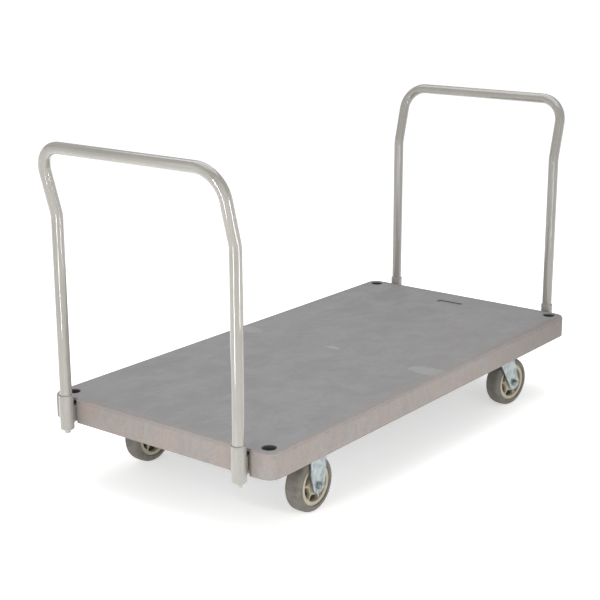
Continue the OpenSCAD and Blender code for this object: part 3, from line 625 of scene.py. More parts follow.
# %% Socket shapes
SOCKET_RADIUS, SOCKET_BORE = 19.05 * MM, 16.25 * MM
SOCKET_FLOOR_UP = 13 * MM
FOOT_HEIGHT, FOOT_RADIUS, FOOT_HOLE = 6 * MM, 12.5 * MM, 4.97 * MM
TONGUE_WIDTH, TONGUE_WALL, TONGUE_ROUND = 19 * MM, 3 * MM, 2.5 * MM
TONGUE_SINK, TONGUE_LEAD = 1.6 * MM, 0.6 * MM
WELD_RADIUS, WELD_OUT, WELD_UP, WELD_STEP, WELD_SPAN = 1.9 * MM, 0.6 * MM, 0.4 * MM, 0.45 * MM, 0.011
rail_low, rail_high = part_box("side_rail_left")
TONGUE_LOW, TONGUE_HIGH = rail_low.z + 3.2 * MM, rail_high.z - 3.2 * MM


def square_loop(width, height, round_by):
    """A rounded rectangle as a loop of (across, up) points, centred on the origin."""
    a, b = width / 2, height / 2
    return rounded_loop([(-a, -b), (a, -b), (a, b), (-a, b)], round_by)


def carried_along_x(stations, loop):
    """A loop of (y, z) points repeated at each X station, each scaled by its own share.

    Stations are rows of (x, share). Where the last joins the first, the tube closes."""
    x = np.repeat(stations[:, :1], len(loop), axis=1)
    yz = loop[None] * stations[:, 1:, None]
    return patch(np.concatenate([x[..., None], yz], -1), True, True)


def weld_bead(path, radius, ripple=2.2 * MM):
    """A closed bead along a closed path, swelling and shrinking a little at each ripple."""
    tangent = unit(np.roll(path, -1, axis=0) - np.roll(path, 1, axis=0))
    along = np.cumsum(np.linalg.norm(np.roll(path, -1, axis=0) - path, axis=1))
    outwards = unit(np.cross(tangent, (1.0, 0.0, 0.02)))
    swell = radius * (1 + 0.14 * np.sin(2 * np.pi * along / ripple))[:, None, None]
    return patch(path[:, None] + swell * circles(outwards, np.cross(tangent, outwards), 10), True, True)


def resampled(loop, spacing):
    """The same closed loop with points at even spacing along it."""
    closed = np.vstack([loop, loop[:1]])
    along = np.concatenate([[0], np.cumsum(np.linalg.norm(np.diff(closed, axis=0), axis=1))])
    at = np.linspace(0, along[-1], int(along[-1] / spacing), endpoint=False)
    return np.stack([np.interp(at, along, closed[:, k]) for k in range(loop.shape[1])], axis=1)


def socket_parts(reach, low, high):
    """A socket with its axis on Z and its tongue along +X."""
    tube = rounded_loop([(FOOT_HOLE, low), (FOOT_RADIUS, low), (SOCKET_RADIUS, low + FOOT_HEIGHT),
                         (SOCKET_RADIUS, high), (SOCKET_BORE, high), (SOCKET_BORE, low + SOCKET_FLOOR_UP),
                         (FOOT_HOLE, low + SOCKET_FLOOR_UP)],
                        np.array([0.3, 1.2, 1.6, 1.3, 0.8, 0.5, 0.3]) * MM)
    tongue_height = TONGUE_HIGH - TONGUE_LOW
    middle = (TONGUE_HIGH + TONGUE_LOW) / 2
    loop = square_loop(TONGUE_WIDTH, tongue_height, TONGUE_ROUND)
    bore_share = 1 - 2 * TONGUE_WALL / TONGUE_WIDTH
    start = SOCKET_RADIUS - TONGUE_SINK
    stations = np.array([(start, 1.0), (reach - TONGUE_LEAD, 1.0), (reach, 0.97),
                         (reach, bore_share), (start + 2 * MM, bore_share)])
    tongue = moved(carried_along_x(stations, loop), (0, 0, middle))
    round_tongue = square_loop(TONGUE_WIDTH + 2 * WELD_OUT, tongue_height + 2 * WELD_OUT, 3 * MM)
    outline = resampled(round_tongue, WELD_STEP)
    across = np.clip(outline[:, 0], -WELD_SPAN, WELD_SPAN)
    on_tube = np.sqrt(SOCKET_RADIUS ** 2 - across ** 2) + WELD_UP
    bead = weld_bead(np.column_stack([on_tube, outline[:, 0], outline[:, 1] + middle]), WELD_RADIUS)
    return [turned(tube, 96), tongue, bead]


for end, x_sign in ENDS.items():
    for side, y_sign in SIDES.items():
        low_corner, high_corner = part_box(f"socket_{end}_{side}")
        reach = high_corner.x - low_corner.x - SOCKET_RADIUS
        towards_middle = np.diag([-x_sign, -x_sign, 1.0])
        parts = [moved(part, (x_sign * POST_X, y_sign * LEG_Y, 0), towards_middle)
                 for part in socket_parts(reach, low_corner.z, high_corner.z)]
        new_piece(f"socket_{end}_{side}_welded", parts, f"socket_{end}_{side}")

# %% [markdown]
# ## Tyres
# A tyre is a turned shape: a nearly flat tread, a generous round on each shoulder,
# a flank that falls in towards the core, and a thin parting line round the middle
# where the two halves of the mould met.

# %% Tyre profile
WHEEL_RADIUS, WHEEL_WIDTH = 76.2 * MM, 50.8 * MM
CORE_RADIUS = 57 * MM
TYRE_STEP, PARTING_RIDGE, SEAT_IN = 1.2 * MM, 0.25 * MM, 1.4 * MM
AXLE_Z = JOINTS["wheel_near_left_roll"]["pos_m"][2]


def tyre_loop():
    """Round shoulders: at share x of the half width, the share s of the height keeps
    |x|^4.4 + s^2.1 = 1. A ridge of a quarter of a millimetre, exp(-(w / 0.5 mm)^2) at
    distance w from the middle, marks the parting."""
    across, half = np.linspace(-1, 1, 61), WHEEL_WIDTH / 2
    shoulder = (1 - np.abs(across) ** 4.4) ** (1 / 2.1)
    inner = CORE_RADIUS + TYRE_STEP
    radius = inner + (WHEEL_RADIUS - inner) * shoulder
    radius -= PARTING_RIDGE * (1 - np.exp(-((across * WHEEL_WIDTH / 2) / (0.5 * MM)) ** 2))
    outer = np.column_stack([radius, across * WHEEL_WIDTH / 2])
    return np.vstack([outer, [(CORE_RADIUS, half - SEAT_IN), (CORE_RADIUS, -half + SEAT_IN)]])


def wheel_places():
    """(end and side, middle of the axle, direction of the axle) of each of the four wheels."""
    for wheel in (f"{end}_{side}" for end in ENDS for side in SIDES):
        joint = JOINTS[f"wheel_{wheel}_roll"]
        yield wheel, joint["pos_m"], joint["axis"]


for wheel, middle, axis in wheel_places():
    tyre = moved(turned(tyre_loop(), 128), middle, axis_frame(axis))
    new_piece(f"tyre_{wheel}_moulded", [tyre], f"tyre_{wheel}")

# %% [markdown]
# ## Wheel cores
# A moulded core has a thick rim, a hub with a flange, and six spokes that flare
# where they meet both. Seen face on it is a relief, so it is made as one: the height
# of the face is worked out for every radius and angle on a round grid, high on rim,
# spokes and hub and low in the pockets, with soft slopes between them for the draft
# that lets the core leave its mould. The other face is its mirror image, and a ring
# at the rim and one in the bore close the two.

# %% Core relief
HUB_RADIUS, HUB_HALF = 21 * MM, 28.5 * MM
FLANGE_RADIUS, FLANGE_HALF = 28.5 * MM, 21 * MM
RIM_INNER, RIM_HALF = 45.5 * MM, 22.4 * MM
POCKET_HALF, SPOKE_HALF_HEIGHT = 4.5 * MM, 19.5 * MM
SPOKE_COUNT, SPOKE_HALF_WIDTH = 6, 2.4 * MM
SPOKE_PHASE = math.radians(6)
FLARE, FLARE_REACH, FLARE_MOST = 5 * MM, 2.6 * MM, 12 * MM
DRAFT = 1.6 * MM
BEARING_RADIUS = 14.0 * MM


def step_down(distance, width):
    """1 well inside (distance below 0) and 0 outside, with a smooth slope of the given width."""
    t = np.clip(0.5 - distance / width, 0, 1)
    return t * t * (3 - 2 * t)


def core_face(radius, angle):
    """Height of the core's face above its middle plane, at each radius and angle.

    It is the greatest of four levels over the pocket's floor: spoke, rim, flange and hub. A
    spoke's half width grows by FLARE exp(-d / FLARE_REACH) at distance d from rim or flange."""
    radius, angle = np.broadcast_arrays(radius, angle)
    off_spoke = (angle + np.pi / SPOKE_COUNT) % (2 * np.pi / SPOKE_COUNT) - np.pi / SPOKE_COUNT
    across = np.abs(radius * np.sin(off_spoke))
    flare = FLARE * (np.exp(-(RIM_INNER - radius) / FLARE_REACH)
                     + np.exp(-(radius - FLANGE_RADIUS) / FLARE_REACH))
    outside = [(SPOKE_HALF_HEIGHT, across - SPOKE_HALF_WIDTH - np.clip(flare, 0, FLARE_MOST)),
               (RIM_HALF, RIM_INNER - radius), (FLANGE_HALF, radius - FLANGE_RADIUS),
               (HUB_HALF, radius - HUB_RADIUS)]
    levels = [POCKET_HALF + (top - POCKET_HALF) * step_down(distance, DRAFT) for top, distance in outside]
    return np.maximum.reduce(levels)


def core_part():
    """Both faces of the core on one grid, out along the top face and back along the lower."""
    steep = [np.linspace(r - DRAFT / 2, r + DRAFT / 2, 7) for r in (HUB_RADIUS, FLANGE_RADIUS, RIM_INNER)]
    flat = [np.linspace(BEARING_RADIUS, HUB_RADIUS - DRAFT, 4),
            np.linspace(HUB_RADIUS + DRAFT, FLANGE_RADIUS - DRAFT, 4),
            np.linspace(FLANGE_RADIUS + DRAFT, RIM_INNER - DRAFT, 26),
            np.linspace(RIM_INNER + DRAFT, CORE_RADIUS - 1.0 * MM, 5)]
    fine = [flat[0], steep[0], flat[1], steep[1], flat[2], steep[2], flat[3]]
    radius = np.concatenate(fine)[:, None]
    angle = full_turn(360)[None, :]
    height = core_face(radius, angle - SPOKE_PHASE)
    edge = np.array([[CORE_RADIUS - 0.3 * MM], [CORE_RADIUS]])
    edge_height = np.repeat([[RIM_HALF - 0.3 * MM], [RIM_HALF - 1.0 * MM]], angle.size, axis=1)
    radius = np.vstack([radius, edge])
    height = np.vstack([height, edge_height])
    upper = np.stack([radius * np.cos(angle), radius * np.sin(angle), height], -1)
    lower = (upper * (1, 1, -1))[::-1]
    return patch(np.vstack([upper, lower]), True, True)


for wheel, middle, axis in wheel_places():
    part = moved(core_part(), middle, axis_frame(axis))
    core = new_piece(f"wheel_core_{wheel}_moulded", [part], f"wheel_core_{wheel}")
    points = np.empty(len(core.data.vertices) * 3)
    core.data.vertices.foreach_get("co", points)
    height = np.abs((points.reshape(-1, 3) - middle) @ np.asarray(axis))
    # painted shade and dust: the deeper a point lies in a pocket, the darker brown it is painted
    dirt = core.data.attributes.new("dirt", "FLOAT", "POINT")
    depth_share = (SPOKE_HALF_HEIGHT - height) / (SPOKE_HALF_HEIGHT - POCKET_HALF)
    dirt.data.foreach_set("value", np.clip(depth_share, 0, 1))

# %% [markdown]
# ## Underframe
# The rails and cross members are welded square tube. Such tube is rolled from
# strip, so its corners are rounded outside and inside. A rounded outline carried
# along the tube gives the outer wall, and a smaller one carried back the bore. The
# joints are closed by weld beads, whose ripples show how the weld pool moved on.

# %% Square tubes and plates
RAIL_WALL, CROSS_WALL = 3 * MM, 2.5 * MM


def square_tube(width, height, wall, length):
    """A square tube along X, centred on the origin: outline out, smaller outline back."""
    outer = square_loop(width, height, 1.6 * wall)
    inner = square_loop(width - 2 * wall, height - 2 * wall, 0.6 * wall)
    lip = square_loop(width - 0.6 * MM, height - 0.6 * MM, 1.5 * wall)
    half = length / 2
    rows = [(-half, lip), (-half + 0.3 * MM, outer), (half - 0.3 * MM, outer), (half, lip),
            (half, inner), (-half, inner)]
    grid = np.array([np.column_stack([np.full(len(loop), x), loop]) for x, loop in rows])
    return patch(grid, True, True)


def slab(length, width, corner, low, high, edge=0.8 * MM):
    """A plate with round corners and softened edges, centred on Z.

    Its outline at each height is the corner circles' outer half, drawn in by
    edge (1 - sin a) as the height rises by edge (1 - cos a) from each face."""
    turn = np.linspace(0, np.pi / 2, 4)
    inset = edge * (1 - np.sin(turn))
    rise = edge * (1 - np.cos(turn))
    insets = np.concatenate([inset, inset[::-1]])[:, None]
    levels = np.concatenate([low + rise, high - rise[::-1]])
    angle = np.linspace(0, np.pi / 2, 8)[None, :] + np.arange(4)[:, None] * np.pi / 2
    centre_x = np.array([1, -1, -1, 1])[:, None] * (length / 2 - corner) * np.ones((4, 8))
    centre_y = np.array([1, 1, -1, -1])[:, None] * (width / 2 - corner) * np.ones((4, 8))
    x = centre_x.ravel() + (corner - insets) * np.cos(angle).ravel()
    y = centre_y.ravel() + (corner - insets) * np.sin(angle).ravel()
    rings = np.stack([x, y, np.repeat(levels[:, None], x.shape[1], axis=1)], -1)
    return capped(rings, low, high)


QUARTER_TURN = axis_frame(UP, (0, 1, 0))
rail_width, rail_height = rail_high.y - rail_low.y, rail_high.z - rail_low.z
rail_middle = (rail_low.z + rail_high.z) / 2
for side, y_sign in SIDES.items():
    tube = moved(square_tube(rail_width, rail_height, RAIL_WALL, 2 * rail_high.x),
                 (0, y_sign * LEG_Y, rail_middle))
    new_piece(f"rail_{side}_rolled", [tube], f"side_rail_{side}")

# %% Cross members with their welds
for name in ("near", "middle", "far"):
    low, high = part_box(f"cross_member_{name}")
    x_middle, z_middle = (low.x + high.x) / 2, (low.z + high.z) / 2
    tube = square_tube(high.x - low.x, high.z - low.z, CROSS_WALL, high.y - low.y)
    parts = [moved(tube, (x_middle, 0, z_middle), QUARTER_TURN)]
    outline = resampled(square_loop(high.x - low.x, high.z - low.z, 4 * MM), 0.6 * MM)
    bead = weld_bead(np.column_stack([np.zeros(len(outline)), outline]), 1.3 * MM)
    parts += [moved(bead, (x_middle, y_end, z_middle), QUARTER_TURN) for y_end in (low.y, high.y)]
    new_piece(f"cross_member_{name}_welded", parts, f"cross_member_{name}")

# %% [markdown]
# ## Caster mounting
# Each caster's top plate is bolted through two short plates welded beside the rail.
# All are cut from 1/4 inch plate, and tumbling has softened their edges.

# %% Wing plates
PLATE_LENGTH, PLATE_WIDTH, PLATE_CORNER = 114.3 * MM, 101.6 * MM, 6 * MM
rigid_low, rigid_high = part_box("rigid_plate_left")
CASTER_X = -(rigid_low.x + rigid_high.x) / 2
CASTER_Y = (rigid_low.y + rigid_high.y) / 2
PLATE_TOP, PLATE_UNDER = rigid_high.z, rigid_low.z
wing_low, wing_high = heights("caster_wing_plates")
parts = []
for x in (-CASTER_X, CASTER_X):
    for y_sign in SIDES.values():
        edges = [(CASTER_Y - PLATE_WIDTH / 2, LEG_Y - rail_width / 2),
                 (LEG_Y + rail_width / 2, CASTER_Y + PLATE_WIDTH / 2)]
        for inner, outer in edges:
            plate = slab(PLATE_LENGTH, outer - inner, 2.5 * MM, wing_low, wing_high, 0.6 * MM)
            parts.append(moved(plate, (x, y_sign * (inner + outer) / 2, 0)))
new_piece("caster_wing_plates_cut", parts, "caster_wing_plates")

# %% Top plates
RACE_RADIUS, BALL_GROOVE = 29 * MM, 4.12 * MM
RACE_OPEN, RACE_BOSS, RACE_RIM, RIM_EDGE = 5 * MM, 4 * MM, 5.47 * MM, 0.6 * MM
CROWN_TOP = PLATE_UNDER - RACE_BOSS - RACE_OPEN
KINGPIN_RADIUS = 6.35 * MM


def race_boss():
    """The upper race: a flat boss on the plate, with half a round groove for the balls."""
    low, high, groove_z = CROWN_TOP + RACE_OPEN, PLATE_UNDER + 0.5 * MM, CROWN_TOP + RACE_OPEN / 2
    reach = math.acos((low - groove_z) / BALL_GROOVE)
    angle = np.linspace(-reach, reach, 9)
    groove = np.column_stack([RACE_RADIUS + BALL_GROOVE * np.sin(angle),
                              groove_z + BALL_GROOVE * np.cos(angle)])
    rim = RACE_RADIUS + RACE_RIM
    outside = [(rim - RIM_EDGE, low), (rim, low + RIM_EDGE), (rim, high), (KINGPIN_RADIUS, high)]
    return turned(np.vstack([[(KINGPIN_RADIUS, low)], groove, outside]), 72)


for kind, x in (("rigid", -CASTER_X), ("swivel", CASTER_X)):
    for side, y_sign in SIDES.items():
        parts = [slab(PLATE_LENGTH, PLATE_WIDTH, PLATE_CORNER, PLATE_UNDER, PLATE_TOP)]
        if kind == "swivel":
            parts.append(race_boss())
        placed = [moved(part, (x, y_sign * CASTER_Y, 0)) for part in parts]
        new_piece(f"{kind}_top_plate_{side}", placed, f"{kind}_plate_{side}")

# %% [markdown]
# ## Forks
# A fork is one piece of 5 mm sheet, cut out and bent to a U over the wheel. Its legs
# narrow from a knee to a round tip at the axle. Here the sheet's middle line is a
# path down one leg, over the crown and down the other, and at each point of it the
# sheet's section is a rectangle with softened corners, as wide as the cut-out shape
# is at that height.

# %% Fork outline and section
SHEET, SHEET_EDGE, FORK_GAP = 5 * MM, 0.9 * MM, 58 * MM
FORK_OUT = FORK_GAP + 2 * SHEET
FORK_HALF_WIDTH, TIP_RADIUS = 31 * MM, 22.5 * MM
BEND_RADIUS = 6.5 * MM
RIGID_KNEE, SWIVEL_KNEE = 28 * MM, 20 * MM


def leg_edge(knee_x, knee_z, axle_x, steps=22):
    """One edge of a leg from its lowest point up: round the tip, then straight to the knee.

    The straight edge touches the tip's circle where the radius is square to it."""
    dx, dz = knee_x - axle_x, knee_z - AXLE_Z
    towards = math.atan2(dz, abs(dx))
    touch = towards - math.acos(TIP_RADIUS / math.hypot(dx, dz))
    angle = np.linspace(-math.pi / 2, touch, steps)
    x = axle_x + math.copysign(1, knee_x) * TIP_RADIUS * np.cos(angle)
    return np.append(AXLE_Z + TIP_RADIUS * np.sin(angle), knee_z), np.append(x, knee_x)


def fork_sheet(top, axle_x, knee_back, knee_front):
    """The bent sheet: a rounded section, x between the leg's edges, along the U-shaped path."""
    back_z, back_x = leg_edge(-FORK_HALF_WIDTH, knee_back, axle_x)
    front_z, front_x = leg_edge(FORK_HALF_WIDTH, knee_front, axle_x)
    bend_start = top - SHEET / 2 - BEND_RADIUS
    z = np.unique(np.concatenate([back_z, front_z, [bend_start]]).round(7))
    z = z[z <= bend_start]
    angle = np.linspace(0, np.pi / 2, 9)[1:]
    out_y = (FORK_GAP + SHEET) / 2
    path_y = np.concatenate([np.full(len(z), out_y), out_y - BEND_RADIUS * (1 - np.cos(angle))])
    path_z = np.concatenate([z, bend_start + BEND_RADIUS * np.sin(angle)])
    normal = np.concatenate([np.zeros(len(z)), angle])
    path_y, path_z = np.append(path_y, -path_y[::-1]), np.append(path_z, path_z[::-1])
    normal = np.append(normal, np.pi - normal[::-1])
    low_x, high_x = np.interp(path_z, back_z, back_x), np.interp(path_z, front_z, front_x)
    half, middle = (high_x - low_x) / 2, (high_x + low_x) / 2
    round_by = np.minimum(SHEET_EDGE, half)[:, None]
    corner = np.linspace(0, np.pi / 2, 4)[None, :] + np.arange(4)[:, None] * np.pi / 2
    sign_x, sign_n = (np.repeat(signs, 4)[None, :] for signs in ([1, -1, -1, 1], [1, 1, -1, -1]))
    x = middle[:, None] + sign_x * (half[:, None] - round_by) + round_by * np.cos(corner.ravel())
    n = sign_n * (SHEET / 2 - round_by) + round_by * np.sin(corner.ravel())
    y = path_y[:, None] + n * np.cos(normal)[:, None]
    return patch(np.stack([x, y, path_z[:, None] + n * np.sin(normal)[:, None]], -1), False, True)


# %% Forks of both kinds
def about_kingpin(side):
    """Rotation and place of a swivel caster at rest, from its wheel's axle."""
    joint = JOINTS[f"wheel_far_{side}_roll"]
    return axis_frame(UP, np.cross(joint["axis"], UP)), (CASTER_X, SIDES[side] * CASTER_Y, 0)


TRAIL = math.hypot(JOINTS["wheel_far_left_roll"]["pos_m"][0] - CASTER_X,
                   JOINTS["wheel_far_left_roll"]["pos_m"][1] - CASTER_Y)
CROWN_RADIUS, CROWN_LAP = 38 * MM, 0.15 * MM
CUP_WALL, CUP_LIP, CUP_HEIGHT, CUP_ROLL = 2 * MM, 2.6 * MM, 7.5 * MM, 2 * MM
for side, y_sign in SIDES.items():
    knee = AXLE_Z + RIGID_KNEE
    sheet = moved(fork_sheet(PLATE_UNDER, 0, knee, knee), (-CASTER_X, y_sign * CASTER_Y, 0))
    new_piece(f"rigid_fork_{side}_bent", [sheet], f"rigid_fork_{side}")
    turn, place = about_kingpin(side)
    crown_low = CROWN_TOP - SHEET + CROWN_LAP
    crown = ring(KINGPIN_RADIUS, CROWN_RADIUS, crown_low, CROWN_TOP, SHEET_EDGE, 96)
    sheet = fork_sheet(CROWN_TOP - CROWN_LAP, TRAIL, CROWN_TOP - SWIVEL_KNEE, CROWN_TOP - BEND_RADIUS)
    new_piece(f"swivel_fork_{side}_bent", [moved(part, place, turn) for part in (crown, sheet)],
              f"swivel_fork_{side}")
    wall, lip = CROWN_RADIUS - CUP_WALL, CROWN_RADIUS - CUP_LIP
    rim_top, rim_low = CROWN_TOP + CUP_HEIGHT, CROWN_TOP + CUP_HEIGHT - CUP_ROLL
    cup = rounded_loop([(wall, CROWN_TOP), (CROWN_RADIUS, CROWN_TOP), (CROWN_RADIUS, rim_top),
                        (lip, rim_top), (lip, rim_low), (wall, rim_low)],
                       np.array([0.3, 0.3, 1.8, 0.8, 0.3, 0.3]) * MM)
    new_piece(f"ball_cup_{side}_pressed", [moved(turned(cup, 96), place, turn)], f"ball_cup_{side}")

# %% [markdown]
# ## Bolts and nuts
# Hexagons are forged and then turned, which leaves a cone that cuts the six corners
# into arcs. A thread is a ridge wound round a rod: the radius dips with the distance
# from the ridge, and the ridge climbs by one thread step a turn.

# %% Shapes of fasteners
THREAD_STEP, THREAD_DEPTH = 1.5 * MM, 0.8 * MM
CHAMFER_FROM, CHAMFER_SLOPE, HEX_EDGE = 0.47, 0.55, 0.25 * MM


def threaded_rod(radius, low, high, steps=24):
    """A closed rod on Z with radius r - depth |2 f - 1|, where f is the fraction of a turn
    (z / step - angle / 2 pi), and cones at both ends."""
    z = np.linspace(low, high, int((high - low) / THREAD_STEP * 6))[:, None]
    angle = full_turn(steps)[None, :]
    fraction = (z / THREAD_STEP - angle / (2 * np.pi)) % 1
    wave = radius - THREAD_DEPTH * np.abs(2 * fraction - 1)
    wave = np.minimum(wave, radius - THREAD_DEPTH + np.minimum(z - low, high - z))
    rod = np.stack([wave * np.cos(angle), wave * np.sin(angle), np.repeat(z, steps, axis=1)], -1)
    return capped(rod, low, high)


def hexagon(across_flats, low, high, bore=0.0):
    """A chamfered hexagon on Z: a round profile wider than its corners, cut by the six flats."""
    corner, flat = across_flats / 2 / math.cos(math.pi / 6), CHAMFER_FROM * across_flats
    slope = CHAMFER_SLOPE * (corner - flat)
    profile = [(bore, low), (flat, low), (corner, low + slope), (corner, high - slope), (flat, high),
               (bore, high)]
    return turned(rounded_loop(profile, HEX_EDGE, 3), 72, across_flats)


def hex_bolt(across_flats, head, radius, length, thread_from):
    """Head below Z = 0, plain shank above it and a thread from thread_from to length."""
    start, runout = -0.1 * MM, thread_from + 0.6 * MM
    shank = turned(np.array([(0, start), (radius, start), (radius, thread_from),
                             (radius - THREAD_DEPTH, runout), (0, runout)]), 36)
    return [hexagon(across_flats, -head, 0), shank, threaded_rod(radius, thread_from, length)]


def fastened(node, made, shape, places, axes=None, material=None):
    """One piece, named for its node and how it is made, with the shape set at every place.

    The shape's Z is turned to the axis given for that place, or left upright."""
    parts = []
    for place, axis in zip(places, axes or [UP] * len(places)):
        turn = axis_frame(axis, (1, 0, 0) if abs(axis[0]) < 0.5 else UP)
        parts += [moved(part, place, turn) for part in shape]
    return new_piece(f"{node}_{made}", parts, node, material)


print("thread step", THREAD_STEP / MM, "mm")

# %% Bolts of the underframe
CROSS_FLATS, CROSS_HEAD, CROSS_NUT = 13 * MM, 5.3 * MM, 6.5 * MM
CROSS_RADIUS, CROSS_END, CROSS_STEP, PLAIN_SHORT = 4 * MM, 9 * MM, 17 * MM, 4 * MM
cross_x = [sign * (rail_high.x - count * CROSS_STEP) for sign in (-1, 1) for count in (1, 2)]
outer_faces, inner_faces = ([(x, s * (LEG_Y + out), rail_middle) for s in SIDES.values() for x in cross_x]
                            for out in (rail_width / 2, -rail_width / 2))
inwards = [(0, -s, 0) for s in SIDES.values() for x in cross_x]
cross_bolt = hex_bolt(CROSS_FLATS, CROSS_HEAD, CROSS_RADIUS, rail_width + CROSS_END,
                      rail_width - PLAIN_SHORT)
fastened("socket_cross_bolts", "forged", cross_bolt, outer_faces, inwards)
cross_nut = [hexagon(CROSS_FLATS, 0, CROSS_NUT, CROSS_RADIUS)]
fastened("socket_cross_nuts", "forged", cross_nut, inner_faces, inwards)


def small_bolt(under_head, low, high):
    """A 3/8 inch bolt whose head fills low to under_head and whose thread ends at high."""
    return hex_bolt(SMALL_FLATS, under_head - low, SMALL_RADIUS, high - under_head, SMALL_PLAIN)


SMALL_FLATS, SMALL_RADIUS, SMALL_PLAIN, NUT_BORE = 14.3 * MM, 4.7625 * MM, 12 * MM, 4.8 * MM
WASHER_BORE, LOCK_RADIUS, WASHER_RADIUS = 4.95 * MM, 8.5 * MM, 9 * MM
bolt_low, bolt_high = heights("handle_retaining_bolts")
washer_low, washer_high = heights("handle_lock_washers")
posts = [(x * POST_X, y * LEG_Y, washer_low) for x in ENDS.values() for y in SIDES.values()]
fastened("handle_retaining_bolts", "forged", small_bolt(washer_low, bolt_low, bolt_high), posts,
         material=WORN_ZINC)
lock_washer = [ring(WASHER_BORE, LOCK_RADIUS, 0, washer_high - washer_low)]
fastened("handle_lock_washers", "pressed", lock_washer, posts, material=WORN_ZINC)

# %% Bolts of the casters
HOLE_X, HOLE_Y = 92.1 / 2 * MM, 76.2 / 2 * MM


def at_holes(z):
    """The sixteen bolt holes of the four top plates, at height z."""
    return [(x + i * HOLE_X, y * CASTER_Y + j * HOLE_Y, z) for x in (-CASTER_X, CASTER_X) for y in (-1, 1)
            for i in (-1, 1) for j in (-1, 1)]


bolt_low, bolt_high = heights("caster_bolts")
washer_low, washer_high = heights("caster_washers")
nut_low, nut_high = heights("caster_nuts")
fastened("caster_bolts", "forged", small_bolt(PLATE_UNDER, bolt_low, bolt_high), at_holes(PLATE_UNDER))
washer = [ring(WASHER_BORE, WASHER_RADIUS, 0, washer_high - washer_low)]
fastened("caster_washers", "punched", washer, at_holes(washer_low))
nut = [hexagon(SMALL_FLATS, 0, nut_high - nut_low, NUT_BORE)]
fastened("caster_nuts", "forged", nut, at_holes(nut_low))

# %% Axles
AXLE_FLATS, AXLE_HEAD, AXLE_NUT = 19 * MM, 8 * MM, 10.5 * MM
AXLE_RADIUS, AXLE_END = 6.35 * MM, 13 * MM
axle_bolt = hex_bolt(AXLE_FLATS, AXLE_HEAD, AXLE_RADIUS, FORK_OUT + AXLE_END, FORK_OUT - PLAIN_SHORT)
axle_nut = [hexagon(AXLE_FLATS, 0, AXLE_NUT, AXLE_RADIUS)]


def axles(bolt_node, nut_node, middles, axes):
    """Bolts and nuts of axles: heads on one side of the fork, nuts on the other."""
    for node, shape, sign in ((bolt_node, axle_bolt, -1), (nut_node, axle_nut, 1)):
        places = [middle + sign * out * FORK_OUT / 2 for middle, out in zip(middles, axes)]
        fastened(node, "forged", shape, places, axes)


near_middles = [np.array(JOINTS[f"wheel_near_{side}_roll"]["pos_m"]) for side in SIDES]
outwards = [np.array((0.0, s, 0.0)) for s in SIDES.values()]
axles("rigid_axle_bolts", "rigid_axle_nuts", near_middles, outwards)
for side, y_sign in SIDES.items():
    joint = JOINTS[f"wheel_far_{side}_roll"]
    axles(f"swivel_axle_bolt_{side}", f"swivel_axle_nut_{side}", [np.array(joint["pos_m"])],
          [y_sign * np.array(joint["axis"])])

# %% Kingpins
THREAD_TOP, SMOOTH_FROM = 20 * MM, 18 * MM
pin_low, pin_high = heights("kingpins")
nut_low, nut_high = heights("kingpin_nuts")
shank = ring(0, KINGPIN_RADIUS - 0.05 * MM, SMOOTH_FROM, pin_high - pin_low, 0.3 * MM)
pin = [threaded_rod(KINGPIN_RADIUS, 0, THREAD_TOP), shank]
swivels = [(CASTER_X, y * CASTER_Y) for y in SIDES.values()]
fastened("kingpins", "headed", pin, [(x, y, pin_low) for x, y in swivels])
pin_nut = [hexagon(AXLE_FLATS, 0, nut_high - nut_low, KINGPIN_RADIUS)]
fastened("kingpin_nuts", "forged", pin_nut, [(x, y, nut_low) for x, y in swivels])

# %% Deck screws
screw_low, screw_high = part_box("deck_screws")
SCREW_HEAD, SCREW_RADIUS, SCREW_HEAD_RADIUS = 3.5 * MM, 2.75 * MM, 5.5 * MM
pan_head = turned(rounded_loop([(0, 0), (SCREW_HEAD_RADIUS * 0.8, 0), (SCREW_HEAD_RADIUS, SCREW_HEAD * 0.6),
                                (SCREW_HEAD_RADIUS, SCREW_HEAD), (0, SCREW_HEAD)], 1.2 * MM), 32)
screw = [pan_head, threaded_rod(SCREW_RADIUS, SCREW_HEAD - 0.2 * MM, screw_high.z - screw_low.z, 16)]
reach_x, reach_y = screw_high.x - SCREW_HEAD_RADIUS, screw_high.y - SCREW_HEAD_RADIUS
screws = [(x, y, screw_low.z) for x in (-reach_x, 0, reach_x) for y in (-reach_y, 0, reach_y)]
fastened("deck_screws", "panhead", screw, screws)

# %% [markdown]
# ## Floor, light and background
# The cart stands on a plain pale floor under white studio light. Two narrow strips
# stand about a metre from the near leg and one near the far leg: their mirror images
# are the thin streaks down the tubes. Two softboxes, left and right, and a broad top
# light do the rest, and a dim sky fills the shadows. The floor glows and runs far
# out, and the background has its brightness, so no horizon shows.

# %% Studio
NEAR_GLOW, FAR_GLOW = 0.45, 0.5


def studio_floor():
    """A flat sheet with a shallow upward curve far away, height = (distance beyond edge)^2."""
    reach = np.linspace(-1, 1, 41) ** 3 * 30
    x, y = np.meshgrid(reach, reach, indexing="ij")
    z = 0.012 * np.clip(np.hypot(x, y) - 12, 0, None) ** 2
    points, quads = patch(np.stack([x, y, z], -1))
    mesh = bpy.data.meshes.new("studio_floor")
    mesh.from_pydata(points.tolist(), [], quads[:, ::-1].tolist())
    mesh.shade_smooth()
    return in_scene("studio_floor", mesh)


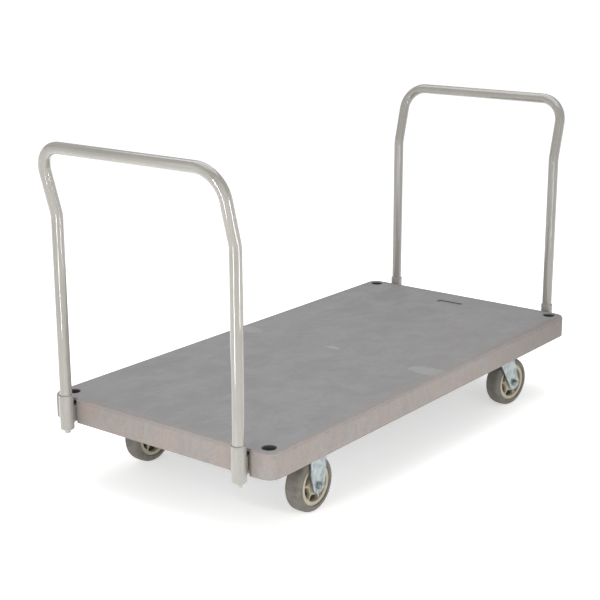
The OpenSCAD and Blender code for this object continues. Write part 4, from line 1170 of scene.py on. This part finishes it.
def floor_paint():
    """White acrylic with lamps below it, so that it glows a little and shadows on it stay light."""
    material, tree, output, place = new_material("matt_white_acrylic_studio_floor")
    cloud = swirl(tree, place, EVEN, 0.8, detail=2.0)
    base = tinted(tree, colour("#f6f6f5"), cloud, (0.2, 0.8), 1.0, "#fafaf9")
    away = add(tree, "VectorMath", {0: place}, out="Value", operation="LENGTH")
    glow = add(tree, "MapRange", {"Value": away, "From Min": 1.0, "From Max": 4.5,
                                  "To Min": NEAR_GLOW, "To Max": FAR_GLOW}, interpolation_type="SMOOTHSTEP")
    finish_surface(tree, output, base, cloud, (0.85, 0.92), cloud, 0.01 * MM, IOR=1.4,
                   Emission_Color=colour("#ffffff"), Emission_Strength=glow)
    return material


floor = studio_floor()
floor.data.materials.append(floor_paint())


def area_light(name, place, aim, size, radiance):
    """A soft rectangular light at place, turned to face aim, upright where it can be.

    Its power is pi times its area times its radiance, so a lamp looks as bright at any size."""
    data = bpy.data.lights.new(name, "AREA")
    data.shape, data.size, data.size_y = "RECTANGLE", *size
    data.energy = math.pi * size[0] * size[1] * radiance
    light = in_scene(name, data)
    light.location = place
    light.rotation_euler = (Vector(aim) - Vector(place)).to_track_quat("-Z", "Y").to_euler()
    light.visible_camera = False


NEAR_LEG = (-POST_X, -LEG_Y, 0.55)
area_light("left_strip", (-1.784, -0.288, 0.50), NEAR_LEG, (0.06, 0.8), 39.0)
area_light("right_strip", (-0.641, -1.288, 0.50), NEAR_LEG, (0.06, 0.45), 36.0)
area_light("far_strip", (0.02, -1.226, 0.40), (POST_X, -LEG_Y, 0.40), (0.05, 0.4), 20.0)
area_light("left_softbox", (-3.08, 0.70, 1.25), (-POST_X, -LEG_Y, 0.4), (2.0, 2.0), 0.7)
area_light("right_softbox", (-1.6, -2.6, 1.3), (0, -0.3, 0.3), (2.4, 2.0), 0.7)
area_light("top_light", (0.2, 0.3, 3.8), (0, 0, 0.2), (4.0, 4.0), 1.95)

SKY_STRENGTH, BACKDROP_STRENGTH = 0.55, 1.0
world = bpy.data.worlds.new("studio_air")
bpy.context.scene.world = world
world.use_nodes = True
world.node_tree.nodes.clear()
seen_by_camera = add(world.node_tree, "LightPath", out="Is Camera Ray")
strength = add(world.node_tree, "MapRange", {"Value": seen_by_camera, "To Min": SKY_STRENGTH,
                                             "To Max": BACKDROP_STRENGTH})
world_light = add(world.node_tree, "Background", {"Color": colour("#ffffff"), "Strength": strength})
world_output = world.node_tree.nodes.new("ShaderNodeOutputWorld")
world.node_tree.links.new(world_light, world_output.inputs["Surface"])
bpy.context.scene.view_settings.view_transform = "Standard"
print("studio ready")
